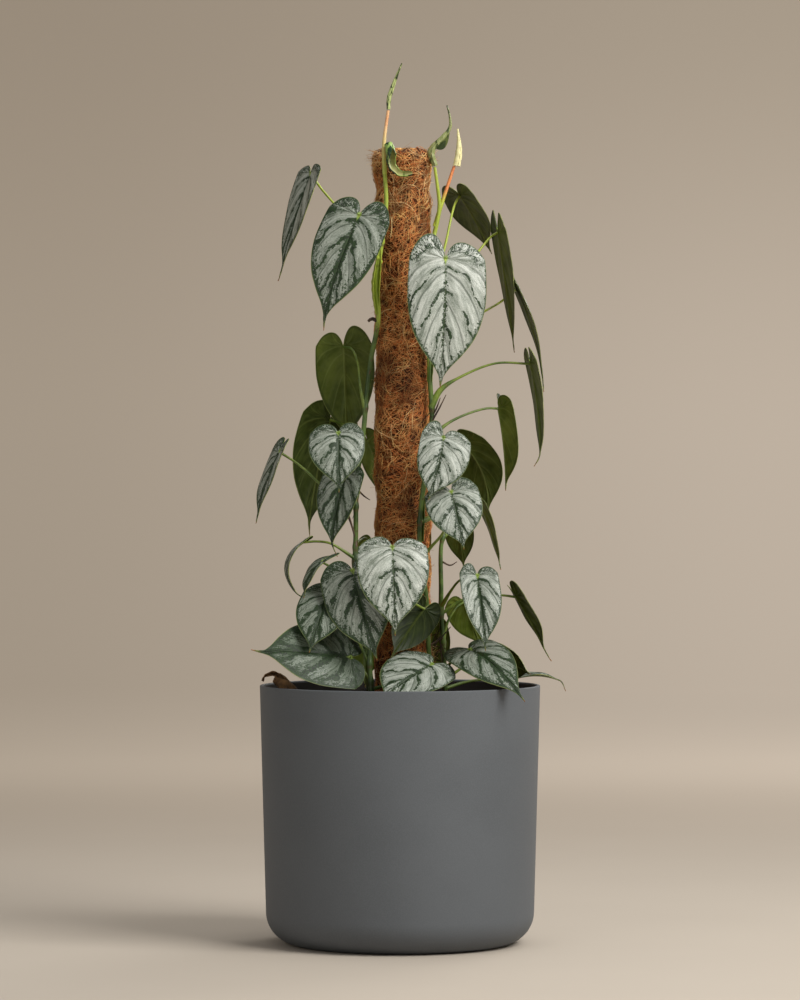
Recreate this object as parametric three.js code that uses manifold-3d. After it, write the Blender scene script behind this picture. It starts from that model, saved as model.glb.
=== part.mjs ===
// A silver-leaf philodendron that climbs a coir pole in a round grey pot.
// Millimetres, +Z up. The origin is the middle of the pot's foot, and -Y is the side that
// faces the viewer.
import * as THREE from "three";
import { mergeVertices } from "three/addons/utils/BufferGeometryUtils.js";
import Module from "manifold-3d";

// Driving dimensions
const POT = {
  height: 276,
  topRadius: 150,
  footRadius: 143.5,
  cornerRadius: 34,
  wall: 4,
  lip: 1.2,
  contactRadius: 109,
};
const SOIL = { edgeHeight: 250, shoulder: 2, shoulderWidth: 12, crown: 8, clearance: 0.4 };
const POLE = { x: 3, radius: 29.4, top: 848, foot: 120, knotPitch: 50, relief: 1.2, bands: 27 };
const STAKE = { radius: 12.5, foot: 40, top: 836 };
const GAP = 0.3;
const LEAF_THICKNESS = 0.8;

// Radii from a stalk's start to its end, and how many sides its section has.
const STEM = { radii: [2.6, 2.6, 2.6, 2.1], sides: 6, stepsPerPlace: 1.6 };
const SHOOT = { radii: [2.2, 1.9], sides: 6, steps: 6 };
const ROOT = { radii: [1.1, 0.5], sides: 4, steps: 4 };
const PETIOLE = { radii: [2.1, 1.5, 1.25, 1.25], sides: 5, end: 0.02 };

// A side vein starts nearer to the notch than it ends, and its middle leans out and towards the notch.
const VEIN = { firstRoot: 0.1, sweep: 1.25, outward: 0.55, forward: 0.2 };

// How far the bore round each thing in the soil clears it.
const STEM_CLEARANCE = 1.6;
const POLE_CLEARANCE = 3;

// How finely things are divided
const POT_SIDES = 32;
const POLE_SIDES = 20;
const STEM_HOLE_SIDES = 12;
const ROLL = { sides: 8, steps: 12 };
const DRY_ROLL = { sides: 6, steps: 14 };
const DROOP_STEPS = 6;

// A half blade wider than this is divided in two across.
const WIDE_BLADE = 33;

// One half of a flat blade: across in half widths, along in blade lengths.
// Below zero, along is in lobe lengths, which rise beside the notch where the petiole joins.
const HALF_OUTLINE = [
  [0, 0], [0.08, -0.5], [0.24, -0.92], [0.46, -1], [0.72, -0.72], [0.91, -0.2], [1, 0.18],
  [0.95, 0.38], [0.76, 0.56], [0.48, 0.7], [0.21, 0.81], [0.07, 0.89], [0.03, 0.95], [0, 1],
];

// Each blade hangs from its notch to its tip. face is the way the upper side looks: 0 to the viewer,
// 90 to the right, 180 away. widths and lobes are for its right and left half, seen on the upper side.
const LEAVES = {
  left_1: {
    notch: [-95.5, 5, 825], tip: [-128, -5, 713], widths: [37, 30], lobes: [0.07, 0.07],
    face: -67, fold: 12, droop: 14, bend: 10, sway: -3,
  },
  left_2: {
    notch: [-43, -75, 774], tip: [-81, -80, 656], widths: [36, 36], lobes: [0.16, 0.13],
    face: -14, bend: 20, sway: 3,
  },
  left_3: {
    notch: [-61, 18, 640], tip: [-57, 30, 529], widths: [31, 33], lobes: [0.13, 0.19],
    face: 176,
  },
  left_4: {
    notch: [-75, 40, 562], tip: [-99, 34, 441], widths: [38, 36], lobes: [0.14, 0.14],
    face: -148, bend: 18,
  },
  left_5: {
    notch: [-65, -62, 545], tip: [-64, -80, 482], widths: [28, 32], lobes: [0.18, 0.15],
    face: -2, tilt: 20, bend: 26,
  },
  left_6: {
    notch: [-57, -38, 501], tip: [-72, -52, 421], widths: [26, 26], lobes: [0.12, 0.1],
    face: -30, fold: 22, bend: 14, sway: 2,
  },
  left_7: {
    notch: [-128, -15, 526], tip: [-153, -25, 449], widths: [17, 22], lobes: [0.18, 0.2],
    face: -68, fold: 8, droop: 8, bend: 10, sway: 3,
  },
  left_8: {
    notch: [-101, -40, 430], tip: [-103, -50, 370], widths: [16, 16], lobes: [0.12, 0.12],
    face: -78, fold: 10, droop: 14, bend: 116,
  },
  left_9: {
    notch: [-82, -55, 409], tip: [-101, -66, 371], widths: [9, 16], lobes: [0.45, 0.3],
    face: -62, droop: 14, bend: 50,
  },
  right_1: {
    notch: [64, 20, 802], tip: [99, 42, 740], widths: [36, 32], lobes: [0.2, 0.2],
    face: 121, fold: 4, droop: 12, sway: -3,
  },
  right_2: {
    notch: [105, 15, 763], tip: [123, 30, 633], widths: [26, 28], lobes: [0.17, 0.15],
    face: 106, fold: 8, droop: 12, bend: 6, sway: -3,
  },
  right_3: {
    notch: [48, -80, 728], tip: [42, -84, 592], widths: [44, 40], lobes: [0.13, 0.19],
    face: 4, bend: 18, belly: 0.2, sway: -1,
  },
  right_4: {
    notch: [125, 20, 702], tip: [154, 14, 590], widths: [24, 24], lobes: [0.1, 0.1],
    face: 94, fold: 4, droop: 8, bend: 24,
  },
  right_5: {
    notch: [139, -5, 621], tip: [149, -5, 513], widths: [26, 26], lobes: [0.15, 0.15],
    face: 101, fold: 8, droop: 12, bend: 16, belly: 0.2,
  },
  right_6: {
    notch: [105, 0, 573], tip: [113, 5, 484], widths: [24, 24], lobes: [0.16, 0.14],
    face: 103, fold: 36, droop: 10, bend: 12, belly: 0.25,
  },
  right_7: {
    notch: [67, 35, 536], tip: [95, 50, 459], widths: [34, 27], lobes: [0.16, 0.18],
    face: 155, bend: 16, belly: 0.2, sway: 9,
  },
  right_8: {
    notch: [46, -62, 540], tip: [30, -80, 474], widths: [31, 25], lobes: [0.14, 0.26],
    face: -4, tilt: 15, bend: 24, belly: 0.2, sway: -2,
  },
  right_9: {
    notch: [54, -66, 483], tip: [67, -88, 422], widths: [30, 30], lobes: [0.24, 0.14],
    face: 4, tilt: 20, bend: 26, belly: 0.1,
  },
  right_10: {
    notch: [86, 10, 471], tip: [108, 14, 399], widths: [24, 20], lobes: [0.14, 0.14],
    face: 101, fold: 8, droop: 10, bend: 14,
  },
  side_1: {
    notch: [62, 30, 449], tip: [69, 38, 400], widths: [16, 16], lobes: [0.14, 0.14],
    face: 172, fold: 12, droop: 10,
  },
  side_2: {
    notch: [82, -40, 394], tip: [90, -70, 315], widths: [23, 22], lobes: [0.1, 0.15],
    face: 14, fold: 24, bend: 16, belly: 0.16,
  },
  side_3: {
    notch: [68, 18, 365], tip: [88, 32, 314], widths: [22, 21], lobes: [0.16, 0.16],
    face: 178, droop: 16,
  },
  side_4: {
    notch: [124, 0, 371], tip: [157, 5, 308], widths: [14, 24], lobes: [0.2, 0.25],
    face: 106, fold: 12, droop: 12, bend: 8,
  },
  side_5: {
    notch: [74, -46, 316], tip: [130, -124, 264], widths: [27, 30], lobes: [0.14, 0.3],
    face: -10, tilt: 50, fold: 4, droop: 10, bend: 44,
  },
  side_6: {
    notch: [99, 8, 304], tip: [139, -22, 288], widths: [22, 24], lobes: [0.2, 0.2],
    face: 150, tilt: 30, bend: 30,
  },
  side_7: {
    notch: [126, 34, 282], tip: [178, 44, 276], widths: [13, 13], lobes: [0.2, 0.2],
    face: 0, tilt: 84, fold: 16, droop: 8, bend: 42,
  },
  low_1: {
    notch: [-8, -88, 425], tip: [-5, -106, 332], widths: [38, 38], lobes: [0.09, 0.12],
    face: 2, bend: 22, belly: 0.06,
  },
  low_2: {
    notch: [-50, -70, 400], tip: [-24, -96, 306], widths: [34, 38], lobes: [0.13, 0.15],
    face: -8, tilt: 6, bend: 22, belly: 0.12,
  },
  low_3: {
    notch: [-75, -56, 375], tip: [-95, -92, 314], widths: [27, 29], lobes: [0.22, 0.16],
    face: -12, tilt: 16, bend: 24, belly: 0.12,
  },
  low_4: {
    notch: [-52, -62, 308], tip: [-151, -92, 314], widths: [41, 42], lobes: [0.14, 0.16],
    face: -8, tilt: 34, fold: 4, droop: 14, bend: 24, belly: 0.15,
  },
  low_5: {
    notch: [26, -42, 359], tip: [-9, -62, 308], widths: [23, 22], lobes: [0.16, 0.2],
    face: 194, fold: 12, droop: 16,
  },
  low_6: {
    notch: [34, -62, 301], tip: [-20, -112, 266], widths: [34, 38], lobes: [0.14, 0.14],
    face: -6, tilt: 48, fold: 4, droop: 14, bend: 16, belly: 0.25,
  },
  back_1: {
    notch: [-35, 58, 538], tip: [-22, 66, 472], widths: [19, 20], lobes: [0.26, 0.22],
    face: 146, droop: 14, bend: 14, sway: 4,
  },
  back_2: {
    notch: [-30, 50, 421], tip: [-41, 60, 366], widths: [20, 20], lobes: [0.25, 0.25],
    face: 175, droop: 14, bend: 14,
  },
  back_3: {
    notch: [-2, 66, 800], tip: [0, 80, 703], widths: [25, 25], lobes: [0.18, 0.16],
    face: 178,
  },
  back_4: {
    notch: [5, 66, 691], tip: [2, 84, 600], widths: [26, 26], lobes: [0.16, 0.18],
    face: 184,
  },
  back_5: {
    notch: [2, 70, 566], tip: [0, 88, 478], widths: [26, 26], lobes: [0.18, 0.17],
    face: 176,
  },
  back_6: {
    notch: [7, 64, 452], tip: [9, 86, 365], widths: [27, 27], lobes: [0.16, 0.16],
    face: 182,
  },
  back_7: {
    notch: [-34, 76, 352], tip: [-38, 104, 268], widths: [30, 30], lobes: [0.18, 0.18],
    face: 190, tilt: 12,
  },
  back_8: {
    notch: [26, 74, 340], tip: [38, 104, 268], widths: [26, 26], lobes: [0.18, 0.18],
    face: 172, tilt: 14,
  },
};

// Each vine is its stem and the petioles that it carries, as places that they pass through.
// A petiole runs from the stem to the notch of the leaf that it is named for.
const VINES = {
  vine_left: {
    stem: [
      [-33, -30, 212], [-33, -30, 270], [-38, -34, 325], [-47, -36, 378], [-47, -30, 442],
      [-46, -26, 495], [-39, -22, 546], [-36, -20, 581], [-31, -22, 623], [-23, -27, 668],
      [-25, -29, 706], [-19, -31, 750], [-14.6, -31, 790], [-16.3, -33, 822],
    ],
    shoots: [[[-16.3, -33, 820], [-17, -33, 852], [-12.6, -33, 888]]],
    petioles: {
      left_1: [[-20, -28, 727], [-40, -50, 751], [-67, -22, 786], [-84, -1, 807]],
      left_2: [[-19, -31, 748], [-28, -48, 768]],
      left_3: [[-38, -21, 572], [-42, -20, 593], [-45, -12, 620], [-52, 4, 636]],
      left_4: [[-42, -22, 536], [-51, 0, 548], [-63, 22, 556]],
      left_5: [[-41, -24, 525], [-51, -44, 538]],
      left_6: [[-46, -27, 479], [-50, -32, 491]],
      left_7: [[-47, -28, 467], [-66, -26, 477], [-85, -20, 491], [-107, -16, 511]],
      left_8: [[-48, -34, 412], [-74, -38, 428], [-88, -39, 430]],
      left_9: [[-47, -35, 396], [-62, -46, 396], [-73, -51, 403]],
      back_2: [[-47, -33, 424], [-44, -4, 430], [-36, 30, 432]],
    },
    roots: [
      [[-46, -27, 486], [-38, -21, 478], [-32, -16, 474]],
      [[-47, -32, 432], [-52, -33, 450], [-57, -34, 468]],
      [[-46, -30, 428], [-52, -22, 448], [-60, -14, 466]],
      [[-24, -27, 664], [-30, -26, 667], [-34, -26, 664]],
    ],
  },
  vine_right: {
    stem: [
      [33, -22, 208], [33, -22, 267], [30, -26, 325], [28, -30, 368], [21, -32, 423], [22, -33, 463],
      [26, -32, 495], [32, -26, 538], [34, -22, 561], [32, -22, 602], [31, -24, 644], [33, -20, 687],
      [35, -18, 728], [37, -14, 761],
    ],
    shoots: [
      [[37, -14, 759], [42, -15, 786], [40, -17, 808], [37, -18, 829]],
      [[37, -14, 766], [43, -11, 786], [49, -8, 804], [58, -6, 831]],
    ],
    petioles: {
      right_1: [[35, -18, 700], [48, -12, 745], [58, 5, 789]],
      right_2: [[33, -21, 674], [59, -15, 714], [82, 0, 738], [97, 10, 756]],
      right_3: [[34, -19, 698], [42, -45, 716]],
      right_4: [[32, -24, 637], [62, 0, 660], [92, 34, 678], [108, 54, 688], [119, 44, 696]],
      right_5: [[33, -22, 572], [43, -20, 591], [64, -16, 605], [102, -8, 620]],
      right_6: [[32, -26, 536], [46, -22, 552], [67, -14, 564], [93, -4, 572]],
      right_7: [[30, -28, 523], [48, 0, 535]],
      right_8: [[29, -29, 512], [39, -45, 529]],
      right_9: [[21, -32, 410], [32, -36, 423], [46, -44, 440], [53, -52, 463]],
      right_10: [[22, -33, 451], [48, -12, 461], [71, 2, 469]],
    },
    roots: [
      [[34, -22, 563], [39, -22, 572], [43, -22, 583]],
      [[33, -24, 556], [42, -25, 572], [49, -26, 586]],
      [[30, -26, 318], [42, -25, 326], [54, -24, 339]],
    ],
  },
  vine_side: {
    stem: [
      [48, 4, 212], [48, 4, 270], [47, 2, 308], [44, 0, 354], [44, 0, 378], [44, 2, 424], [47, 5, 438],
    ],
    shoots: [],
    petioles: {
      side_1: [[46, 4, 433], [55, 14, 442]],
      side_2: [[44, 0, 359], [55, -14, 378], [63, -24, 388], [74, -34, 393]],
      side_3: [[46, 1, 322], [51, 4, 343], [60, 9, 358]],
      side_4: [[44, 1, 352], [70, 2, 368], [107, 0, 372]],
      side_5: [[47, 3, 290], [56, -20, 303], [65, -36, 312]],
      side_6: [[48, 3, 281], [70, 8, 296], [88, 10, 303]],
      side_7: [[48, 4, 272], [75, 22, 279], [106, 32, 281]],
    },
    roots: [[[45, 2, 408], [54, 0, 404], [61, -2, 408]]],
  },
  vine_low: {
    stem: [
      [-30, -60, 212], [-30, -60, 269], [-32, -58, 303], [-30, -56, 337], [-20, -54, 368],
      [-12, -56, 400],
    ],
    shoots: [[[-31, -59, 275], [-36, -56, 290], [-37, -56, 306]]],
    petioles: {
      low_1: [[-13, -56, 396], [-9, -70, 416]],
      low_2: [[-30, -56, 335], [-40, -58, 373], [-48, -62, 393]],
      low_3: [[-32, -58, 301], [-53, -50, 342], [-68, -50, 367]],
      low_4: [[-31, -59, 282], [-42, -57, 299]],
      low_5: [[-19, -54, 371], [0, -60, 372], [16, -54, 364]],
      low_6: [[-30, -60, 274], [0, -52, 283], [22, -50, 292]],
    },
    roots: [],
  },
  vine_back: {
    stem: [
      [4, 36, 212], [4, 36, 265], [2, 38, 323], [0, 38, 409], [4, 38, 496], [-2, 38, 582],
      [2, 38, 668], [0, 37, 745], [-2, 38, 778],
    ],
    shoots: [],
    petioles: {
      back_1: [[0, 38, 537], [-14, 46, 547], [-27, 54, 545]],
      back_3: [[-1, 38, 768], [-4, 52, 792]],
      back_4: [[2, 38, 660], [8, 52, 684]],
      back_5: [[0, 38, 548], [4, 54, 566]],
      back_6: [[2, 38, 430], [6, 50, 448]],
      back_7: [[1, 38, 342], [-16, 54, 354], [-27, 66, 355]],
      back_8: [[2, 38, 322], [14, 54, 336]],
    },
    roots: [[[1, 38, 620], [-4, 36, 626], [-9, 34, 628]]],
  },
};

// Leaves that have not opened yet: places along each roll, with its radius there.
const NEW_LEAVES = {
  new_spike: {
    along: [[-12.5, -33, 889], [-12, -33, 900], [-8, -33, 913], [-3, -33, 926], [2, -33, 938]],
    radii: [2.2, 2.8, 2.6, 1.7, 0.6],
  },
  new_curl: {
    along: [[-12.3, -38, 852], [-9.5, -41, 842], [-8.5, -41, 830], [0, -43, 821], [13, -43, 820]],
    radii: [4.4, 5.6, 4.6, 3.6, 2],
  },
  new_roll: {
    along: [
      [37, -18, 830], [33, -19, 846], [44, -18, 859], [53, -16, 871], [53, -16, 883], [50, -16, 895],
    ],
    radii: [3.4, 4, 3.4, 2.4, 1.6, 0.7],
  },
  new_bud: {
    along: [[59.2, -6, 831.2], [62.4, -6, 841], [63.8, -6, 854], [61.6, -6, 871]],
    radii: [3, 3.9, 2.9, 0.7],
  },
};
const DRY_LEAF = {
  along: [
    [-116, -44, 253.8], [-119, -44, 271], [-124, -43, 282], [-133, -42, 289], [-142, -41, 288],
    [-146, -40, 282],
  ],
  radii: [3.2, 5.6, 6.4, 4.2, 2.4, 1],
};

const COLOURS = {
  leaf: 0x5d7462,
  under: 0x3c4521,
  vine: 0x5c7d2c,
  coir: 0x7a4a26,
  soil: 0x1c1410,
  pot: 0x5a5d5f,
  stake: 0x9a7b52,
  fresh: 0xb9c98a,
};

const wasm = await Module();
wasm.setup();

const vector = (p) => new THREE.Vector3(...p);
const radians = THREE.MathUtils.degToRad;

// A point on the smooth line through the half outline's points, at part t of their number.
function outlineAt(t) {
  const last = HALF_OUTLINE.length - 1;
  const place = (i) => {
    if (i < 0) return HALF_OUTLINE[0].map((v, k) => 2 * v - HALF_OUTLINE[1][k]);
    if (i > last) return HALF_OUTLINE[last].map((v, k) => 2 * v - HALF_OUTLINE[last - 1][k]);
    return HALF_OUTLINE[i];
  };
  const i = Math.min(Math.floor(t * last), last - 1);
  const f = t * last - i;
  const [a, b, c, d] = [place(i - 1), place(i), place(i + 1), place(i + 2)];
  return [0, 1].map((k) => {
    const slope = c[k] - a[k];
    const curve = 2 * a[k] - 5 * b[k] + 4 * c[k] - d[k];
    const twist = 3 * b[k] - a[k] - 3 * c[k] + d[k];
    return b[k] + 0.5 * (slope * f + curve * f ** 2 + twist * f ** 3);
  });
}

// The curved middle surface of a blade, as a function of across (in half widths), along (in
// lengths) and side.
function bladeSurface(leaf) {
  const notch = vector(leaf.notch);
  const down = vector(leaf.tip).sub(notch);
  const chord = down.length();
  down.divideScalar(chord);
  const face = radians(leaf.face);
  const tilt = radians(leaf.tilt ?? 0);
  const up = new THREE.Vector3(Math.sin(face), -Math.cos(face), Math.tan(tilt));
  up.addScaledVector(down, -up.dot(down)).normalize();
  const out = new THREE.Vector3().crossVectors(down, up);
  const bend = radians(leaf.bend ?? 20);
  const length = (chord * (bend / 2)) / Math.sin(bend / 2);
  const arcRadius = length / bend;
  const fold = radians(leaf.fold ?? 8);
  const droop = radians(leaf.droop ?? 24);
  const sway = leaf.sway ?? 0;
  return (across, along, side) => {
    const turn = bend / 2 - (along * length) / arcRadius;
    const point = notch.clone()
      .addScaledVector(down, arcRadius * (Math.sin(bend / 2) - Math.sin(turn)))
      .addScaledVector(up, arcRadius * (Math.cos(turn) - Math.cos(bend / 2)))
      .addScaledVector(out, sway * 4 * along * (1 - along));
    const lift = down.clone().multiplyScalar(-Math.sin(turn)).addScaledVector(up, Math.cos(turn));
    const width = leaf.widths[side < 0 ? 0 : 1];
    const step = (across * width) / DROOP_STEPS;
    for (let k = 0; k < DROOP_STEPS; k++) {
      const rise = fold - (droop * across * (k + 0.5)) / DROOP_STEPS;
      point.addScaledVector(out, side * step * Math.cos(rise));
      point.addScaledVector(lift, step * Math.sin(rise));
    }
    return point;
  };
}

// Rows of points on one half of a blade, each along a side vein from the midrib to the edge.
function halfRows(leaf, surface, side, columns) {
  const rows = HALF_OUTLINE.length - 1;
  const lobe = leaf.lobes[side < 0 ? 0 : 1];
  const belly = leaf.belly ?? 0;
  return Array.from({ length: rows + 1 }, (_, j) => {
    const [x, y] = outlineAt(j / rows);
    const edge = y < 0 ? y * lobe : y + belly * y * (1 - y);
    const swept = Math.max(0, (edge - VEIN.firstRoot) / (1 - VEIN.firstRoot)) ** VEIN.sweep;
    const root = Math.min(swept, Math.max(edge, 0));
    const middle = root + VEIN.forward * (edge - root);
    return Array.from({ length: columns + 1 }, (_, i) => {
      const q = i / columns;
      const across = 2 * q * (1 - q) * VEIN.outward * x + q * q * x;
      const along = (1 - q) ** 2 * root + 2 * q * (1 - q) * middle + q * q * edge;
      return surface(Math.max(across, 0), along, side);
    });
  });
}

// Triangles and points of a sheet, with equal points merged and empty triangles left out.
class Sheet {
  points = [];
  triangles = [];
  names = new Map();
  add(point) {
    const name = point.toArray().map((v) => Math.round(v * 1000)).join();
    if (!this.names.has(name)) this.names.set(name, this.points.push(point) - 1);
    return this.names.get(name);
  }
  triangle(a, b, c) {
    if (a !== b && b !== c && c !== a) this.triangles.push([a, b, c]);
  }
}

function geometryOf(points, triangles) {
  const geometry = new THREE.BufferGeometry();
  const places = points.flatMap((p) => p.toArray());
  geometry.setAttribute("position", new THREE.Float32BufferAttribute(places, 3));
  geometry.setIndex(triangles.flat());
  return geometry;
}

// A closed blade of even thickness round its middle surface.
function bladeGeometry(leaf, thickness) {
  const surface = bladeSurface(leaf);
  const columns = Math.max(...leaf.widths) > WIDE_BLADE ? 2 : 1;
  const sheet = new Sheet();
  const halves = [-1, 1].map((side) =>
    halfRows(leaf, surface, side, columns).map((row) => row.map((p) => sheet.add(p))));
  halves.forEach((rows, half) => {
    for (let j = 0; j < rows.length - 1; j++) {
      for (let i = 0; i < columns; i++) {
        const [a, b, c, d] = [rows[j][i], rows[j][i + 1], rows[j + 1][i + 1], rows[j + 1][i]];
        if (half) {
          sheet.triangle(a, b, c);
          sheet.triangle(a, c, d);
        } else {
          sheet.triangle(a, c, b);
          sheet.triangle(a, d, c);
        }
      }
    }
  });
  const flat = geometryOf(sheet.points, sheet.triangles);
  flat.computeVertexNormals();
  const normals = flat.getAttribute("normal");
  const count = sheet.points.length;
  const shifted = (distance) => sheet.points.map((p, i) => {
    const normal = new THREE.Vector3().fromBufferAttribute(normals, i);
    return p.clone().addScaledVector(normal, distance);
  });
  const points = [...shifted(thickness / 2), ...shifted(-thickness / 2)];
  const turnedOver = ([a, b, c]) => [a + count, c + count, b + count];
  const triangles = sheet.triangles.flatMap((corners) => [corners, turnedOver(corners)]);
  const edge = (rows) => rows.map((row) => row[columns]);
  const loop = [...edge(halves[1]), ...edge(halves[0]).reverse().slice(1, -1)]
    .filter((v, i, all) => v !== all[i - 1]);
  loop.forEach((a, i) => {
    const b = loop[(i + 1) % loop.length];
    triangles.push([a, a + count, b], [b, a + count, b + count]);
  });
  return geometryOf(points, triangles);
}

// A solid that runs through a list of places, with a round section whose radius may change on the way.
function rodGeometry(places, radii, sides, steps) {
  const curve = new THREE.CatmullRomCurve3(places.map(vector), false, "centripetal");
  const frames = curve.computeFrenetFrames(steps);
  const points = [];
  const triangles = [];
  for (let j = 0; j <= steps; j++) {
    const u = j / steps;
    const r = (u * (radii.length - 1)) % 1;
    const i = Math.min(Math.floor(u * (radii.length - 1)), radii.length - 2);
    const radius = u === 1 ? radii.at(-1) : THREE.MathUtils.lerp(radii[i], radii[i + 1], r);
    for (let k = 0; k < sides; k++) {
      const a = (2 * Math.PI * k) / sides;
      points.push(curve.getPointAt(u)
        .addScaledVector(frames.normals[j], radius * Math.cos(a))
        .addScaledVector(frames.binormals[j], radius * Math.sin(a)));
    }
  }
  for (let j = 0; j < steps; j++) {
    for (let k = 0; k < sides; k++) {
      const [a, b] = [j * sides + k, j * sides + ((k + 1) % sides)];
      triangles.push([a, b, b + sides], [a, b + sides, a + sides]);
    }
  }
  for (let k = 1; k < sides - 1; k++) {
    triangles.push([0, k + 1, k]);
    triangles.push([steps * sides, steps * sides + k, steps * sides + k + 1]);
  }
  return geometryOf(points, triangles);
}

// Booleans: a three.js geometry as a solid, and back.
function solidOf(geometry) {
  const bare = geometry.clone();
  bare.deleteAttribute("normal");
  bare.deleteAttribute("uv");
  const merged = mergeVertices(bare, 1e-4);
  const mesh = new wasm.Mesh({
    numProp: 3,
    vertProperties: new Float32Array(merged.attributes.position.array),
    triVerts: new Uint32Array(merged.index.array),
  });
  const solid = new wasm.Manifold(mesh);
  if (solid.volume() >= 0) return solid;
  for (let i = 0; i < mesh.triVerts.length; i += 3) {
    [mesh.triVerts[i + 1], mesh.triVerts[i + 2]] = [mesh.triVerts[i + 2], mesh.triVerts[i + 1]];
  }
  return new wasm.Manifold(mesh);
}

function geometryFrom(solid) {
  const mesh = solid.getMesh();
  const geometry = new THREE.BufferGeometry();
  geometry.setAttribute("position", new THREE.BufferAttribute(mesh.vertProperties, 3));
  geometry.setIndex(new THREE.BufferAttribute(mesh.triVerts, 1));
  return geometry;
}

const largestBody = (solid) => solid.decompose().sort((a, b) => b.volume() - a.volume())[0];

// A solid of revolution from (radius, height) pairs. It stands at x, y.
function turned(profile, sides, x = 0, y = 0) {
  const geometry = new THREE.LatheGeometry(profile.map((p) => new THREE.Vector2(...p)), sides);
  geometry.rotateX(Math.PI / 2);
  geometry.translate(x, y, 0);
  return geometry;
}

function arcPoints(cx, cz, radius, from, to, count) {
  return Array.from({ length: count + 1 }, (_, i) => {
    const a = radians(from + ((to - from) * i) / count);
    return [cx + radius * Math.cos(a), cz + radius * Math.sin(a)];
  });
}

// The pot's outer radius at a height above its rounded foot.
function potRadius(z) {
  const part = (z - POT.cornerRadius) / (POT.height - POT.cornerRadius);
  return THREE.MathUtils.lerp(POT.footRadius, POT.topRadius, part);
}

function potGeometry() {
  const { height, topRadius, footRadius, cornerRadius, wall, lip, contactRadius } = POT;
  const profile = [
    [0, wall],
    ...arcPoints(footRadius - cornerRadius, cornerRadius, cornerRadius - wall, -90, 0, 4),
    [topRadius - wall, height - lip],
    [topRadius - wall + lip, height],
    [topRadius - lip, height],
    [topRadius, height - lip],
    ...arcPoints(footRadius - cornerRadius, cornerRadius, cornerRadius, 0, -84, 5),
    [contactRadius, 0], [0, 0], [0, wall],
  ];
  return turned(profile.reverse(), POT_SIDES);
}

function soilGeometry() {
  const inner = potRadius(SOIL.edgeHeight) - POT.wall - SOIL.clearance;
  const crown = SOIL.edgeHeight + SOIL.crown;
  const foot = POT.wall + SOIL.clearance;
  const footInner = POT.footRadius - POT.wall - SOIL.clearance;
  const corner = POT.cornerRadius - POT.wall - SOIL.clearance;
  const profile = [
    [0, foot],
    ...arcPoints(footInner - corner, POT.cornerRadius, corner, -90, 0, 4),
    [inner, SOIL.edgeHeight],
    [inner - SOIL.shoulderWidth, SOIL.edgeHeight + SOIL.shoulder],
    [inner * 0.6, crown - SOIL.crown / 5],
    [inner * 0.3, crown],
    [0, crown],
    [0, foot],
  ];
  const hole = (x, y, radius, from, sides) => {
    const above = POT.height;
    const bore = [[0, from], [radius, from], [radius, above], [0, above], [0, from]];
    return solidOf(turned(bore, sides, x, y));
  };
  let soil = solidOf(turned(profile, POT_SIDES))
    .subtract(hole(POLE.x, 0, POLE.radius + POLE_CLEARANCE, POLE.foot - GAP, POLE_SIDES))
    .subtract(hole(POLE.x, 0, STAKE.radius + GAP, STAKE.foot - GAP, POLE_SIDES));
  for (const { stem } of Object.values(VINES)) {
    const [x, y, z] = stem[0];
    soil = soil.subtract(hole(x, y, STEM.radii[0] + STEM_CLEARANCE, z - GAP, STEM_HOLE_SIDES));
  }
  return geometryFrom(soil);
}

// How far knots and fibre bundles raise the coir at an angle and a height.
function coirRelief(angle, z) {
  const knot = Math.cos((2 * Math.PI * z) / POLE.knotPitch);
  const bundle = Math.sin(3 * angle + z / 23) + Math.sin(5 * angle - z / 13);
  return (POLE.relief * (knot + bundle)) / 2;
}

// The coir sleeve: a bore for the stake, a closed top, and knots and fibre bundles raised on its outside.
function coirGeometry() {
  const { radius, top, foot, bands, x } = POLE;
  const [chamfer, shoulder, closing] = [2, 3, 10];
  const rise = top - foot - closing;
  const outer = turned([
    [0, foot],
    [radius - chamfer, foot],
    ...Array.from({ length: bands + 1 }, (_, i) => [radius, foot + chamfer + (rise * i) / bands]),
    [radius - shoulder, top - shoulder],
    [radius - closing, top],
    [0, top],
    [0, foot],
  ], POLE_SIDES);
  const position = outer.getAttribute("position");
  const sector = (2 * Math.PI) / POLE_SIDES;
  for (let i = 0; i < position.count; i++) {
    const p = new THREE.Vector3().fromBufferAttribute(position, i);
    const r = Math.hypot(p.x, p.y);
    if (r < radius - 1) continue;
    const angle = Math.round(Math.atan2(p.y, p.x) / sector) * sector;
    const grown = 1 + coirRelief(angle, p.z) / r;
    position.setXYZ(i, p.x * grown, p.y * grown, p.z);
  }
  const [boreFoot, boreTop, boreRadius] = [foot - 9, STAKE.top + GAP, STAKE.radius + GAP];
  const bore = turned(
    [[0, boreFoot], [boreRadius, boreFoot], [boreRadius, boreTop], [0, boreTop], [0, boreFoot]],
    POLE_SIDES,
  );
  return geometryFrom(solidOf(outer).subtract(solidOf(bore))).translate(x, 0, 0);
}

function stakeGeometry() {
  const { radius, foot, top } = STAKE;
  const [point, bevel] = [3, 2];
  const profile = [
    [0, foot],
    [radius - bevel, foot],
    [radius, foot + point],
    [radius, top - bevel],
    [radius - bevel, top],
    [0, top],
    [0, foot],
  ];
  return turned(profile, POLE_SIDES, POLE.x);
}

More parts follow.
